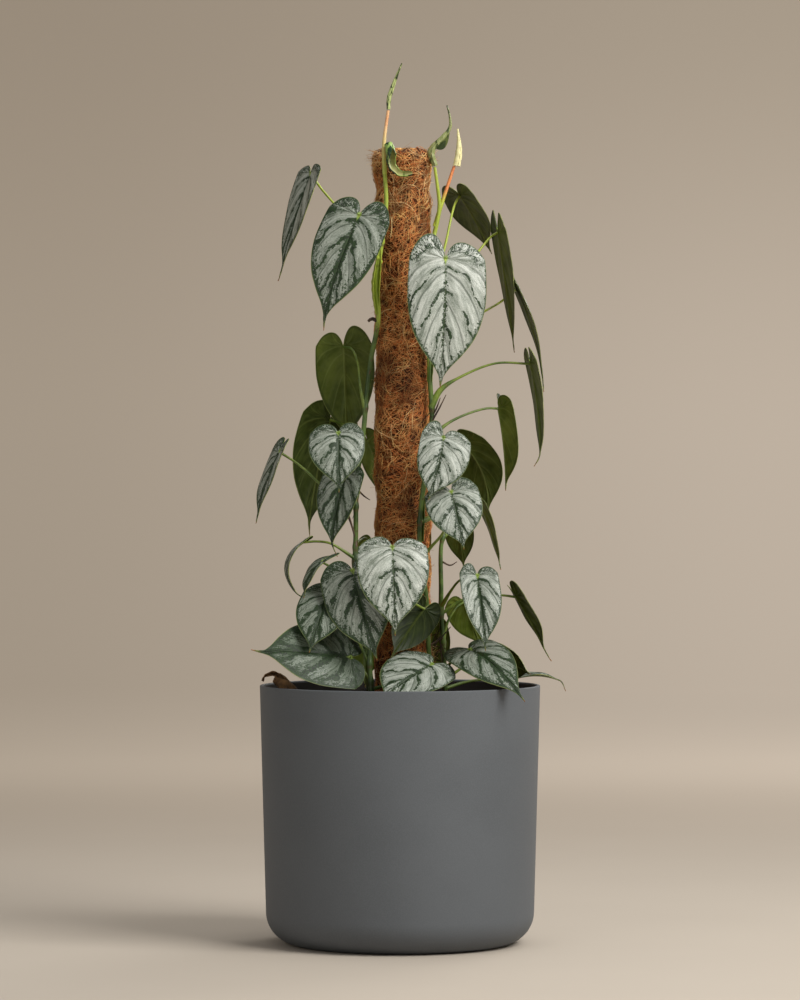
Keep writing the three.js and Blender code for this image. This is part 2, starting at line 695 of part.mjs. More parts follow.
// A vine with its nodes, petioles, young shoots and roots, cut back where a blade begins.
function vineGeometry(vine) {
  const steps = Math.round(vine.stem.length * STEM.stepsPerPlace);
  const rods = [rodGeometry(vine.stem, STEM.radii, STEM.sides, steps)];
  for (const shoot of vine.shoots) rods.push(rodGeometry(shoot, SHOOT.radii, SHOOT.sides, SHOOT.steps));
  for (const hair of vine.roots) rods.push(rodGeometry(hair, ROOT.radii, ROOT.sides, ROOT.steps));
  for (const [name, way] of Object.entries(vine.petioles)) {
    const joint = bladeSurface(LEAVES[name])(0, PETIOLE.end, 1);
    rods.push(rodGeometry([...way, joint.toArray()], PETIOLE.radii, PETIOLE.sides, way.length + 3));
  }
  let solid = rods.map(solidOf).reduce((a, b) => a.add(b));
  for (const name of Object.keys(vine.petioles)) {
    solid = solid.subtract(solidOf(bladeGeometry(LEAVES[name], LEAF_THICKNESS + 3 * GAP)));
  }
  return geometryFrom(largestBody(solid));
}

const root = new THREE.Group();

function place(name, geometry, colour, roughness) {
  const material = new THREE.MeshStandardMaterial({ color: colour, roughness, metalness: 0 });
  const mesh = new THREE.Mesh(geometry, material);
  mesh.name = name;
  root.add(mesh);
}

place("pot", potGeometry(), COLOURS.pot, 0.7);
place("soil", soilGeometry(), COLOURS.soil, 1);
place("pole_coir", coirGeometry(), COLOURS.coir, 0.95);
place("pole_stake", stakeGeometry(), COLOURS.stake, 0.8);
for (const [name, vine] of Object.entries(VINES)) {
  place(name, vineGeometry(vine), COLOURS.vine, 0.5);
}
for (const [name, leaf] of Object.entries(LEAVES)) {
  place("leaf_" + name, bladeGeometry(leaf, LEAF_THICKNESS), COLOURS.leaf, 0.5);
}
for (const [name, { along, radii }] of Object.entries(NEW_LEAVES)) {
  place(name, rodGeometry(along, radii, ROLL.sides, ROLL.steps), COLOURS.fresh, 0.45);
}
const dried = rodGeometry(DRY_LEAF.along, DRY_LEAF.radii, DRY_ROLL.sides, DRY_ROLL.steps);
place("dry_leaf", dried, COLOURS.under, 0.9);

export default root;
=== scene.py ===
import math
import random
from functools import reduce
from typing import NamedTuple

import bpy
import numpy as np
from mathutils import Matrix, Vector, noise


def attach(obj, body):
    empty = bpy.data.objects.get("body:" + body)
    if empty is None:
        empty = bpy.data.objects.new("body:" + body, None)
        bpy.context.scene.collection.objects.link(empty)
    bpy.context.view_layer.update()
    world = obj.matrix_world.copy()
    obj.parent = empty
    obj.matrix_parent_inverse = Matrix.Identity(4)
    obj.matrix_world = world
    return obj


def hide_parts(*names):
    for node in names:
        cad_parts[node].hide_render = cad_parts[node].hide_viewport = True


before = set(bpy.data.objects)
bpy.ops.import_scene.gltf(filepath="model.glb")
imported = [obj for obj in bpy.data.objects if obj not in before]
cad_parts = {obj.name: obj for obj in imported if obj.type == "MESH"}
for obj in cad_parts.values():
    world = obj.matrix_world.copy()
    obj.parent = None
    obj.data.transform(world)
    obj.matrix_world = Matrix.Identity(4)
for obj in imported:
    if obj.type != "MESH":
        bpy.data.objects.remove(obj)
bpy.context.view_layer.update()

MM = 0.001
POT = dict(height=276, top_radius=150, foot_radius=143.5, corner=34, wall=4, lip=1.2)
# The outer wall's radius in metres, carried down to the floor, and how much it grows with the height.
OUTER_WALL = dict(radius=0.1426, slope=0.0269)
SOIL = dict(edge_height=250, crown=8, crown_radius=140, lumps=1.8, thickness=6)
# What lies on the soil: how many pieces of each kind, and their size.
CRUMBS = dict(bark_chips=(260, 5.5), peat_crumbs=(900, 2.6))
POLE = dict(x=3, radius=29.4, top=848, foot=120, knot_pitch=50, relief=1.2)
# The sleeve comes out of the soil this far above its foot.
POLE_IN_SOIL = 126
COIR_MAT = dict(parts=3, strands=4900, crown_strands=260)
LOOSE_STRANDS = dict(anywhere=320, near_top=120)
VINE_RADIUS, SHEATH_RADIUS, PETIOLE_RADIUS = 2.6, 2.1, 1.25
BLADE_THICKNESS, ROLL_THICKNESS, DRY_THICKNESS = 0.6, 0.5, 0.6
# How far apart the rings of a stem, a stalk and a rolled leaf are.
STEM_STEP, STALK_STEP, ROLL_STEP = 2.5, 3, 1.2

# The photograph was taken level, from 4.3 m away.
CAMERA = dict(distance=4300, eye_height=474, focal_pixels=4016, frame_height=1000, sensor=36)

# One half of a flat blade: across in half widths, along in blade lengths.
# Below zero, along is in lobe lengths, which rise beside the notch where the petiole joins.
HALF_OUTLINE = (
    (0, 0), (0.08, -0.5), (0.24, -0.92), (0.46, -1), (0.72, -0.72), (0.91, -0.2), (1, 0.18),
    (0.95, 0.38), (0.76, 0.56), (0.48, 0.7), (0.21, 0.81), (0.07, 0.89), (0.03, 0.95), (0, 1),
)
# How many side veins cross each half of a blade, and how strongly they sweep towards its tip.
VEIN_ROWS, VEIN_SWEEP = 10, 3.4
# The blade length at which the silver pattern has its usual size; it is finer on a shorter leaf.
PATTERN_LENGTH = 112


class Leaf(NamedTuple):
    """A blade that hangs from its notch to its tip. Its angles are degrees.

    face is the way the upper side looks: 0 to the viewer, 90 to the right, 180 away. widths and lobes
    are for its right and left half, seen on the upper side. silver is how much silver shows there, from
    0 for dark green to 1 for nearly white, and it is partly painted light and shade as well: it was set
    lower on leaves that lie in shade and higher on lit ones, and on a leaf that shows its underside it
    sets only painted light and shade, with values below 0 for deep shade. hook is how far the drip tip
    leaves the line of the blade:
    x, y and z. sheath is the radius of the petiole's foot.
    """
    notch: tuple
    tip: tuple
    widths: tuple
    lobes: tuple
    face: float
    tilt: float = 0
    fold: float = 8
    droop: float = 24
    bend: float = 20
    sway: float = 0
    belly: float = 0
    silver: float = 0.6
    hook: tuple = (0, 0, 0)
    sheath: float = SHEATH_RADIUS


LEAVES = dict(
    left_1=Leaf((-95.5, 5, 825), (-128, -5, 713), (37, 30), (0.07, 0.07), -67, fold=12, droop=14, bend=10,
        sway=-3, silver=0.55, hook=(-2, 0, -5)),
    left_2=Leaf((-43, -75, 774), (-81, -80, 656), (36, 36), (0.16, 0.13), -14, bend=20, sway=3,
        silver=0.45, hook=(1, 0, -4), sheath=3.2),
    left_3=Leaf((-61, 18, 640), (-57, 30, 529), (31, 33), (0.13, 0.19), 176, silver=0.5),
    left_4=Leaf((-75, 40, 562), (-99, 34, 441), (38, 36), (0.14, 0.14), -148, bend=18, silver=0.12,
        hook=(2, 0, -9)),
    left_5=Leaf((-65, -62, 545), (-64, -80, 482), (28, 32), (0.18, 0.15), -2, tilt=20, bend=26,
        silver=0.5),
    left_6=Leaf((-57, -38, 501), (-72, -52, 421), (26, 26), (0.12, 0.1), -30, fold=22, bend=14, sway=2,
        silver=0.35, hook=(6, 0, -7)),
    left_7=Leaf((-128, -15, 526), (-153, -25, 449), (17, 22), (0.18, 0.2), -68, fold=8, droop=8, bend=10,
        sway=3, silver=0.45),
    left_8=Leaf((-101, -40, 430), (-103, -50, 370), (16, 16), (0.12, 0.12), -78, fold=10, droop=14,
        bend=116, silver=0.35, hook=(9, 0, -1)),
    left_9=Leaf((-82, -55, 409), (-101, -66, 371), (9, 16), (0.45, 0.3), -62, droop=14, bend=50,
        silver=0.4),
    right_1=Leaf((64, 20, 802), (99, 42, 740), (36, 32), (0.2, 0.2), 121, fold=4, droop=12, sway=-3,
        silver=0.3),
    right_2=Leaf((105, 15, 763), (123, 30, 633), (26, 28), (0.17, 0.15), 106, fold=8, droop=12, bend=6,
        sway=-3, silver=0.45),
    right_3=Leaf((48, -80, 728), (42, -84, 592), (44, 40), (0.13, 0.19), 4, bend=18, sway=-1, belly=0.2,
        silver=0.88, sheath=2.6),
    right_4=Leaf((125, 20, 702), (154, 14, 590), (24, 24), (0.1, 0.1), 94, fold=4, droop=8, bend=24,
        silver=0.4),
    right_5=Leaf((139, -5, 621), (149, -5, 513), (26, 26), (0.15, 0.15), 101, fold=8, droop=12, bend=16,
        belly=0.2, silver=0.4, hook=(-6, 0, -3), sheath=3.7),
    right_6=Leaf((105, 0, 573), (113, 5, 484), (24, 24), (0.16, 0.14), 103, fold=36, droop=10, bend=12,
        belly=0.25, silver=0.6, sheath=2.6),
    right_7=Leaf((67, 35, 536), (95, 50, 459), (34, 27), (0.16, 0.18), 155, bend=16, sway=9, belly=0.2,
        silver=0.3),
    right_8=Leaf((46, -62, 540), (30, -80, 474), (31, 25), (0.14, 0.26), -4, tilt=15, bend=24, sway=-2,
        belly=0.2, silver=0.78),
    right_9=Leaf((54, -66, 483), (67, -88, 422), (30, 30), (0.24, 0.14), 4, tilt=20, bend=26, belly=0.1,
        silver=0.62),
    right_10=Leaf((86, 10, 471), (108, 14, 399), (24, 20), (0.14, 0.14), 101, fold=8, droop=10, bend=14,
        silver=0.8, sheath=3.3),
    side_1=Leaf((62, 30, 449), (69, 38, 400), (16, 16), (0.14, 0.14), 172, fold=12, droop=10, silver=0.5),
    side_2=Leaf((82, -40, 394), (90, -70, 315), (23, 22), (0.1, 0.15), 14, fold=24, bend=16, belly=0.16,
        silver=0.56, sheath=2.6),
    side_3=Leaf((68, 18, 365), (88, 32, 314), (22, 21), (0.16, 0.16), 178, droop=16, silver=0.9),
    side_4=Leaf((124, 0, 371), (157, 5, 308), (14, 24), (0.2, 0.25), 106, fold=12, droop=12, bend=8,
        silver=0.3, hook=(5, 0, -7)),
    side_5=Leaf((74, -46, 316), (130, -124, 264), (27, 30), (0.14, 0.3), -10, tilt=50, fold=4, droop=10,
        bend=44, silver=0.4),
    side_6=Leaf((99, 8, 304), (139, -22, 288), (22, 24), (0.2, 0.2), 150, tilt=30, bend=30),
    side_7=Leaf((126, 34, 282), (178, 44, 276), (13, 13), (0.2, 0.2), 0, tilt=84, fold=16, droop=8,
        bend=42, silver=0.3, hook=(1, 0, -9)),
    low_1=Leaf((-8, -88, 425), (-5, -106, 332), (38, 38), (0.09, 0.12), 2, bend=22, belly=0.06,
        silver=0.8),
    low_2=Leaf((-50, -70, 400), (-24, -96, 306), (34, 38), (0.13, 0.15), -8, tilt=6, bend=22, belly=0.12,
        silver=0.4, sheath=3.0),
    low_3=Leaf((-75, -56, 375), (-95, -92, 314), (27, 29), (0.22, 0.16), -12, tilt=16, bend=24,
        belly=0.12, silver=0.35),
    low_4=Leaf((-52, -62, 308), (-151, -92, 314), (41, 42), (0.14, 0.16), -8, tilt=34, fold=4, droop=14,
        bend=24, belly=0.15, silver=0.08, hook=(-5, 0, 3)),
    # Its silver below 0 paints deep shade on this leaf.
    low_5=Leaf((26, -42, 359), (-9, -62, 308), (23, 22), (0.16, 0.2), 194, fold=12, droop=16,
        silver=-0.3),
    low_6=Leaf((34, -62, 301), (-20, -112, 266), (34, 38), (0.14, 0.14), -6, tilt=48, fold=4, droop=14,
        bend=16, belly=0.25, silver=0.6),
    back_1=Leaf((-35, 58, 538), (-22, 66, 472), (19, 20), (0.26, 0.22), 146, droop=14, bend=14, sway=4,
        silver=0.9),
    back_2=Leaf((-30, 50, 421), (-41, 60, 366), (20, 20), (0.25, 0.25), 175, droop=14, bend=14,
        silver=0.8),
    back_3=Leaf((-2, 66, 800), (0, 80, 703), (25, 25), (0.18, 0.16), 178),
    back_4=Leaf((5, 66, 691), (2, 84, 600), (26, 26), (0.16, 0.18), 184),
    back_5=Leaf((2, 70, 566), (0, 88, 478), (26, 26), (0.18, 0.17), 176),
    back_6=Leaf((7, 64, 452), (9, 86, 365), (27, 27), (0.16, 0.16), 182),
    back_7=Leaf((-34, 76, 352), (-38, 104, 268), (30, 30), (0.18, 0.18), 190, tilt=12),
    back_8=Leaf((26, 74, 340), (38, 104, 268), (26, 26), (0.18, 0.18), 172, tilt=14),
)

VINES = dict(
    vine_left=dict(
        stem=((-33, -30, 212), (-33, -30, 270), (-38, -34, 325), (-47, -36, 378), (-47, -30, 442),
              (-46, -26, 495), (-39, -22, 546), (-36, -20, 581), (-31, -22, 623), (-23, -27, 668),
              (-25, -29, 706), (-19, -31, 750), (-14.6, -31, 790), (-16.3, -33, 822)),
        shoots=(((-16.3, -33, 820), (-17, -33, 852), (-12.6, -33, 888)),),
        petioles=dict(
            left_1=((-20, -28, 727), (-40, -50, 751), (-67, -22, 786), (-84, -1, 807)),
            left_2=((-19, -31, 748), (-28, -48, 768)),
            left_3=((-38, -21, 572), (-42, -20, 593), (-45, -12, 620), (-52, 4, 636)),
            left_4=((-42, -22, 536), (-51, 0, 548), (-63, 22, 556)),
            left_5=((-41, -24, 525), (-51, -44, 538)),
            left_6=((-46, -27, 479), (-50, -32, 491)),
            left_7=((-47, -28, 467), (-66, -26, 477), (-85, -20, 491), (-107, -16, 511)),
            left_8=((-48, -34, 412), (-74, -38, 428), (-88, -39, 430)),
            left_9=((-47, -35, 396), (-62, -46, 396), (-73, -51, 403)),
            back_2=((-47, -33, 424), (-44, -4, 430), (-36, 30, 432)),
        ),
        roots=(((-46, -27, 486), (-38, -21, 478), (-32, -16, 474)),
               ((-47, -32, 432), (-52, -33, 450), (-57, -34, 468)),
               ((-46, -30, 428), (-52, -22, 448), (-60, -14, 466)),
               ((-24, -27, 664), (-30, -26, 667), (-34, -26, 664))),
    ),
    vine_right=dict(
        stem=((33, -22, 208), (33, -22, 267), (30, -26, 325), (28, -30, 368), (21, -32, 423),
              (22, -33, 463), (26, -32, 495), (32, -26, 538), (34, -22, 561), (32, -22, 602),
              (31, -24, 644), (33, -20, 687), (35, -18, 728), (37, -14, 761)),
        shoots=(((37, -14, 759), (42, -15, 786), (40, -17, 808), (37, -18, 829)),
                ((37, -14, 766), (43, -11, 786), (49, -8, 804), (58, -6, 831))),
        petioles=dict(
            right_1=((35, -18, 700), (48, -12, 745), (58, 5, 789)),
            right_2=((33, -21, 674), (59, -15, 714), (82, 0, 738), (97, 10, 756)),
            right_3=((34, -19, 698), (42, -45, 716)),
            right_4=((32, -24, 637), (62, 0, 660), (92, 34, 678), (108, 54, 688), (119, 44, 696)),
            right_5=((33, -22, 572), (43, -20, 591), (64, -16, 605), (102, -8, 620)),
            right_6=((32, -26, 536), (46, -22, 552), (67, -14, 564), (93, -4, 572)),
            right_7=((30, -28, 523), (48, 0, 535)),
            right_8=((29, -29, 512), (39, -45, 529)),
            right_9=((21, -32, 410), (32, -36, 423), (46, -44, 440), (53, -52, 463)),
            right_10=((22, -33, 451), (48, -12, 461), (71, 2, 469)),
        ),
        roots=(((34, -22, 563), (39, -22, 572), (43, -22, 583)),
               ((33, -24, 556), (42, -25, 572), (49, -26, 586)),
               ((30, -26, 318), (42, -25, 326), (54, -24, 339))),
    ),
    vine_side=dict(
        stem=((48, 4, 212), (48, 4, 270), (47, 2, 308), (44, 0, 354), (44, 0, 378), (44, 2, 424),
              (47, 5, 438)),
        shoots=(),
        petioles=dict(
            side_1=((46, 4, 433), (55, 14, 442)),
            side_2=((44, 0, 359), (55, -14, 378), (63, -24, 388), (74, -34, 393)),
            side_3=((46, 1, 322), (51, 4, 343), (60, 9, 358)),
            side_4=((44, 1, 352), (70, 2, 368), (107, 0, 372)),
            side_5=((47, 3, 290), (56, -20, 303), (65, -36, 312)),
            side_6=((48, 3, 281), (70, 8, 296), (88, 10, 303)),
            side_7=((48, 4, 272), (75, 22, 279), (106, 32, 281)),
        ),
        roots=(((45, 2, 408), (54, 0, 404), (61, -2, 408)),),
    ),
    vine_low=dict(
        stem=((-30, -60, 212), (-30, -60, 269), (-32, -58, 303), (-30, -56, 337), (-20, -54, 368),
              (-12, -56, 400)),
        shoots=(((-31, -59, 275), (-36, -56, 290), (-37, -56, 306)),),
        petioles=dict(
            low_1=((-13, -56, 396), (-9, -70, 416)),
            low_2=((-30, -56, 335), (-40, -58, 373), (-48, -62, 393)),
            low_3=((-32, -58, 301), (-53, -50, 342), (-68, -50, 367)),
            low_4=((-31, -59, 282), (-42, -57, 299)),
            low_5=((-19, -54, 371), (0, -60, 372), (16, -54, 364)),
            low_6=((-30, -60, 274), (0, -52, 283), (22, -50, 292)),
        ),
        roots=(),
    ),
    vine_back=dict(
        stem=((4, 36, 212), (4, 36, 265), (2, 38, 323), (0, 38, 409), (4, 38, 496), (-2, 38, 582),
              (2, 38, 668), (0, 37, 745), (-2, 38, 778)),
        shoots=(),
        petioles=dict(
            back_1=((0, 38, 537), (-14, 46, 547), (-27, 54, 545)),
            back_3=((-1, 38, 768), (-4, 52, 792)),
            back_4=((2, 38, 660), (8, 52, 684)),
            back_5=((0, 38, 548), (4, 54, 566)),
            back_6=((2, 38, 430), (6, 50, 448)),
            back_7=((1, 38, 342), (-16, 54, 354), (-27, 66, 355)),
            back_8=((2, 38, 322), (14, 54, 336)),
        ),
        roots=(((1, 38, 620), (-4, 36, 626), (-9, 34, 628)),),
    ),
)

# The root that is really an old side stem: its vine and its number there.
STOUT_ROOT = "vine_left", 3

# Leaves that have not opened: the line that each is rolled up round, and its radii.
NEW_LEAVES = dict(
    new_spike=(((-12.5, -33, 889), (-12, -33, 900), (-8, -33, 913), (-3, -33, 926), (2, -33, 938)),
               (2, 2.7, 2.3, 1.4, 0.5)),
    new_curl=(((-12.3, -38, 852), (-9.5, -41, 842), (-8.5, -41, 830), (0, -43, 821), (13, -43, 820)),
              (4.4, 5.6, 4.8, 3.8, 2.2)),
    new_roll=(((37, -18, 830), (33, -19, 846), (44, -18, 859), (53, -16, 871), (53, -16, 883),
               (50, -16, 895)), (3.4, 4.4, 3.6, 2.3, 1.2, 0.5)),
    new_bud=(((60.2, -6, 831.4), (62.2, -6, 841), (63, -6, 854), (61.6, -6, 871)), (4, 3.7, 2.1, 0.5)),
)
FLAP_EDGE = (36, -19, 850), (44, -18.5, 858), (53, -17, 868)
DRY_HOOK = (
    ((-116, -44, 253.8), (-119, -44, 271), (-124, -43, 282), (-133, -42, 289), (-142, -41, 288),
     (-146, -40, 282)), (3.2, 5.6, 6.4, 4.4, 2.4, 1))
DRY_FOOT = ((-108, -52, 258), (-117, -48, 272), (-126, -44, 280), (-133, -42, 284)), (9, 10, 8, 3)

# Open sheaths that wrap a vine: the line that each follows, and its radii.
SHEATHS = dict(
    vine_left=(
        (((-21, -33, 740), (-23, -34, 722), (-25, -33, 700), (-23.5, -28, 672)), (1.2, 4.6, 6, 5, 3)),
        (((-46, -27, 480), (-46, -26, 506), (-41, -22, 534)), (3.2, 4.2, 3)),
    ),
    vine_right=(
        (((31, -24, 600), (32, -24, 622), (33, -21, 652)), (3.2, 4.4, 3)),
        (((22, -32, 430), (22, -33, 452), (24, -33, 476)), (3.2, 4.2, 3)),
    ),
)

# Where thin roots hang in tangles: the middle of their starts, how many, and how far they reach.
ROOT_TANGLES = (
    ((42, 0, 330), 16, 20), ((44, 2, 306), 12, 14), ((-33, -30, 282), 8, 12), ((-46, -27, 474), 4, 8),
    ((33, -23, 570), 4, 12),
)

# Between these heights in metres the old dark stems and stalks turn fresh and yellow-green.
FRESH_ABOVE = 0.645, 0.668

# The paper that the pot stands on, in millimetres, and its painted glow far from the pot, in metres.
STAGE = dict(front=-40000, back=5700, radius=1500, wall_height=3000, width=60000, columns=8, rows=60)
GLOW = dict(
    low_left=(138, 128, 115), low_right=(170, 159, 146), high_left=(122, 113, 101),
    high_right=(140, 131, 118), across=(-1.2, 1.3), up=(0.6, 2.0), starts=(0.4, 3.1),
    paper_darkens=(0.3, 2.3), beside=(1.6, 5.5), before=(1.8, 6.5), front_darkens=(0.6, 1.8))

# Soft square lamps: their place, the height that they aim at, their size, power and colour.
LAMPS = dict(
    key_light=((2100, -1700, 2500), 450, 1900, 124, (1, 0.98, 0.95)),
    fill_light=((-2200, -2600, 1300), 450, 1800, 14, (1, 0.98, 0.96)),
    top_light=((200, 200, 2700), 400, 1000, 10, (1, 0.98, 0.96)),
    rear_light=((1700, 2700, 2300), 450, 1500, 30, (1, 0.98, 0.95)),
)
ROOM = dict(Color=(1, 0.975, 0.94, 1), Strength=0.27)


# Modelling helpers

def deselect():
    if bpy.context.object and bpy.context.object.mode != "OBJECT":
        bpy.ops.object.mode_set(mode="OBJECT")
    bpy.ops.object.select_all(action="DESELECT")


def make_active(piece):
    deselect()
    piece.select_set(True)
    bpy.context.view_layer.objects.active = piece


def name_active(name):
    piece = bpy.context.object
    piece.name = piece.data.name = name
    return piece


def in_edit_mode(piece, *steps):
    """Runs edit-mode steps on the whole of a piece."""
    make_active(piece)
    bpy.ops.object.mode_set(mode="EDIT")
    bpy.ops.mesh.select_all(action="SELECT")
    for step in steps:
        step()
    bpy.ops.object.mode_set(mode="OBJECT")


def merge_doubles():
    bpy.ops.mesh.remove_doubles(threshold=0.02 * MM)


def face_outwards():
    bpy.ops.mesh.normals_make_consistent(inside=False)


def close_ends():
    bpy.ops.mesh.select_all(action="DESELECT")
    bpy.ops.mesh.select_non_manifold()
    bpy.ops.mesh.fill_holes(sides=0)
    bpy.ops.mesh.select_all(action="SELECT")


def face_towards(piece, face, way):
    """Turns a sheet over if one of its faces looks away from a direction."""
    if np.dot(piece.data.polygons[face].normal, way) < 0:
        in_edit_mode(piece, bpy.ops.mesh.flip_normals)


def thicken(piece, thickness, offset=0, **slots):
    """Gives a sheet its thickness in millimetres."""
    make_active(piece)
    modifier = piece.modifiers.new("Solidify", "SOLIDIFY")
    for name, value in dict(slots, thickness=thickness * MM, offset=offset).items():
        setattr(modifier, name, value)
    bpy.ops.object.modifier_apply(modifier=modifier.name)


def paint(piece, *materials):
    for material in materials:
        piece.data.materials.append(material)


def smooth(piece, angle):
    make_active(piece)
    bpy.ops.object.shade_smooth_by_angle(angle=math.radians(angle))


def join(pieces, name):
    make_active(pieces[0])
    for piece in pieces[1:]:
        piece.select_set(True)
    if len(pieces) > 1:
        bpy.ops.object.join()
    return name_active(name)


def sheet(name, columns, rows, place):
    """A grid that is bent into shape: place(i, j) gives the points of all its corners in millimetres."""
    deselect()
    bpy.ops.mesh.primitive_grid_add(x_subdivisions=columns, y_subdivisions=rows, size=1)
    piece = name_active(name)
    x, y, _ = corner_places(piece).T * MM
    i = np.rint((x + 0.5) * columns).astype(int)
    j = np.rint((y + 0.5) * rows).astype(int)
    set_corner_places(piece, place(i, j))
    return piece


def corner_places(piece):
    """The places of all corners in millimetres."""
    places = np.empty(len(piece.data.vertices) * 3)
    piece.data.vertices.foreach_get("co", places)
    return places.reshape(-1, 3) / MM


def set_corner_places(piece, places):
    piece.data.vertices.foreach_set("co", (places * MM).ravel())
    piece.data.update()


def add_values(piece, name, values):
    """A number or a vector for each corner, or one number for all of them, which the materials read."""
    if np.ndim(values) == 0:
        values = np.full(len(piece.data.vertices), values)
    kind, field = ("FLOAT", "value") if values.ndim == 1 else ("FLOAT_VECTOR", "vector")
    added = piece.data.attributes.new(name, kind, "POINT")
    added.data.foreach_set(field, values.astype(np.float32).ravel())


def finish(piece, slot, *nodes):
    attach(piece, "root")
    if nodes:
        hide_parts(*nodes)


def unit(vector):
    return vector / np.linalg.norm(vector)


def smooth_line(places, count):
    """Evenly spaced points on the smooth line that runs through all the places."""
    p = np.array(places, float)
    ends = [2 * p[0] - p[1], *p, 2 * p[-1] - p[-2]]
    part = np.linspace(0, 1, 24, endpoint=False)[:, None]
    stretches = []
    for a, b, c, d in zip(ends, ends[1:], ends[2:], ends[3:]):
        ab, bc, cd = (max(np.linalg.norm(v), 1e-6) ** 0.5 for v in (b - a, c - b, d - c))
        leave = bc * ((b - a) / ab - (c - a) / (ab + bc) + (c - b) / bc)
        arrive = bc * ((c - b) / bc - (d - b) / (bc + cd) + (d - c) / cd)
        stretches.append(
            b + part * leave + part**2 * (3 * (c - b) - 2 * leave - arrive)
            + part**3 * (2 * (b - c) + leave + arrive))
    dense = np.concatenate([*stretches, p[-1:]])
    travelled = np.concatenate([[0], np.cumsum(np.linalg.norm(np.diff(dense, axis=0), axis=1))])
    wanted = np.linspace(0, travelled[-1], count)
    return np.stack([np.interp(wanted, travelled, dense[:, k]) for k in range(3)], axis=1)


def ringed_line(places, step, fewest=4):
    """A smooth line with a point for each ring of a tube, about every step millimetres."""
    length = sum(np.linalg.norm(np.subtract(b, a)) for a, b in zip(places, places[1:]))
    return smooth_line(places, max(fewest, round(length / step)) + 1)


def spread(values, count):
    """A value for each of count points, where the values given are spread evenly along them."""
    return np.interp(np.linspace(0, 1, count), np.linspace(0, 1, len(values)), values)


def turned_frames(line):
    """Two directions square to a line at each of its points, which turn with it and never flip."""
    along = np.gradient(line, axis=0)
    along /= np.linalg.norm(along, axis=1)[:, None]
    first = [unit(np.cross(along[0], (0, 1, 0) if abs(along[0][1]) < 0.9 else (1, 0, 0)))]
    for direction in along[1:]:
        first.append(unit(first[-1] - direction * np.dot(first[-1], direction)))
    first = np.array(first)
    return first, np.cross(along, first)


def round_section(line, frames, j, radius, angle):
    """Points round a line: at its point j, a radius away, at an angle between the two directions there."""
    first, second = frames
    return (line[j] + (radius * np.cos(angle))[:, None] * first[j]
            + (radius * np.sin(angle))[:, None] * second[j])


def upright(radius, angle, z, x=0):
    """Points round an upright axis, which stands at x."""
    return np.stack([x + radius * np.cos(angle), radius * np.sin(angle), z], 1)


def rod(name, line, radius, sides=8):
    """A round rod through the points of a line, closed at both ends."""
    frames = turned_frames(line)
    piece = sheet(name, sides, len(line) - 1, lambda i, j: round_section(
        line, frames, j, radius[j], 2 * np.pi * i / sides))
    in_edit_mode(piece, merge_doubles, close_ends, face_outwards)
    return piece


# Materials

def srgb(channels):
    """A colour as it looks on a screen, from 0 to 255, as the shader's own linear light."""
    return (*(((c / 255 + 0.055) / 1.055) ** 2.4 if c > 10 else c / 255 / 12.92 for c in channels), 1)


class Value:
    """What a material works out at each point. Sums, products and eased values are values as well."""

    def __init__(self, finish, socket):
        self.finish, self.socket = finish, socket

    def __add__(self, other):
        return self.finish.math("ADD", self, other)

    def __sub__(self, other):
        return self.finish.math("SUBTRACT", self, other)

    def __rsub__(self, other):
        return self.finish.math("SUBTRACT", other, self)

    def __mul__(self, other):
        return self.finish.math("MULTIPLY", self, other)

    def __abs__(self):
        return self.finish.math("ABSOLUTE", self)

    def ease(self, low, high, to_low=0.0, to_high=1.0):
        """Passes softly from one number to another while this value rises from low to high."""
        return self.finish.node("MapRange", 0, {
            "Value": self, "From Min": low, "From Max": high, "To Min": to_low, "To Max": to_high,
        }, interpolation_type="SMOOTHSTEP")


class Finish:
    """A material and its nodes, added one after another."""

    def __init__(self, name, roughness=0.5, specular=0.5):
        self.material = bpy.data.materials.new(name)
        self.material.use_nodes = True
        self.tree = self.material.node_tree
        self.set("Roughness", roughness)
        self.set("Specular IOR Level", specular)

    def feed(self, socket, value):
        if isinstance(value, Value):
            self.tree.links.new(value.socket, socket)
        else:
            socket.default_value = value

    def set(self, name, value):
        self.feed(self.tree.nodes["Principled BSDF"].inputs[name], value)

    def node(self, kind, output=0, inputs=(), **settings):
        made = self.tree.nodes.new("ShaderNode" + kind)
        for name, value in settings.items():
            setattr(made, name, value)
        for socket, value in dict(inputs).items():
            self.feed(made.inputs[socket], value)
        return Value(self, made.outputs[output])

    def math(self, operation, a, b=0.0):
        return self.node("Math", 0, {0: a, 1: b}, operation=operation)

    def most(self, *values):
        return reduce(lambda a, b: self.math("MAXIMUM", a, b), values)

    def place(self):
        """Where the point lies on its object, in metres."""
        return self.node("TexCoord", 3)

    def scaled(self, *scale):
        """The same place, scaled along x, y and z, which draws a pattern out."""
        return self.node("VectorMath", 0, {0: self.place(), 1: scale}, operation="MULTIPLY")

    def split(self, vector):
        return [self.node("SeparateXYZ", axis, {0: vector}) for axis in range(3)]

    def attribute(self, name, output="Vector"):
        return self.node("Attribute", output, attribute_name=name)

    def noise(self, scale, detail=2.0, roughness=0.55, at=None):
        return self.node("TexNoise", 0, {
            "Vector": at or self.place(), "Scale": scale, "Detail": detail, "Roughness": roughness})

    def mix(self, amount, a, b):
        a, b = (srgb(colour) if isinstance(colour, tuple) else colour for colour in (a, b))
        return self.node("Mix", 2, {0: amount, 6: a, 7: b}, data_type="RGBA")

    def lay(self, skin, *layers):
        """Lays further colours over a first one, each as strongly as its own amount."""
        for amount, colour in layers:
            skin = self.mix(amount, skin, colour)
        return skin

    def done(self, skin, relief=None, strength=0.0, depth=0.0):
        """The material with its colour and a fine relief, whose depth is in millimetres."""
        self.set("Base Color", skin)
        if relief:
            self.set("Normal", self.node("Bump", 0, {
                "Height": relief, "Strength": strength, "Distance": depth * MM}))
        return self.material


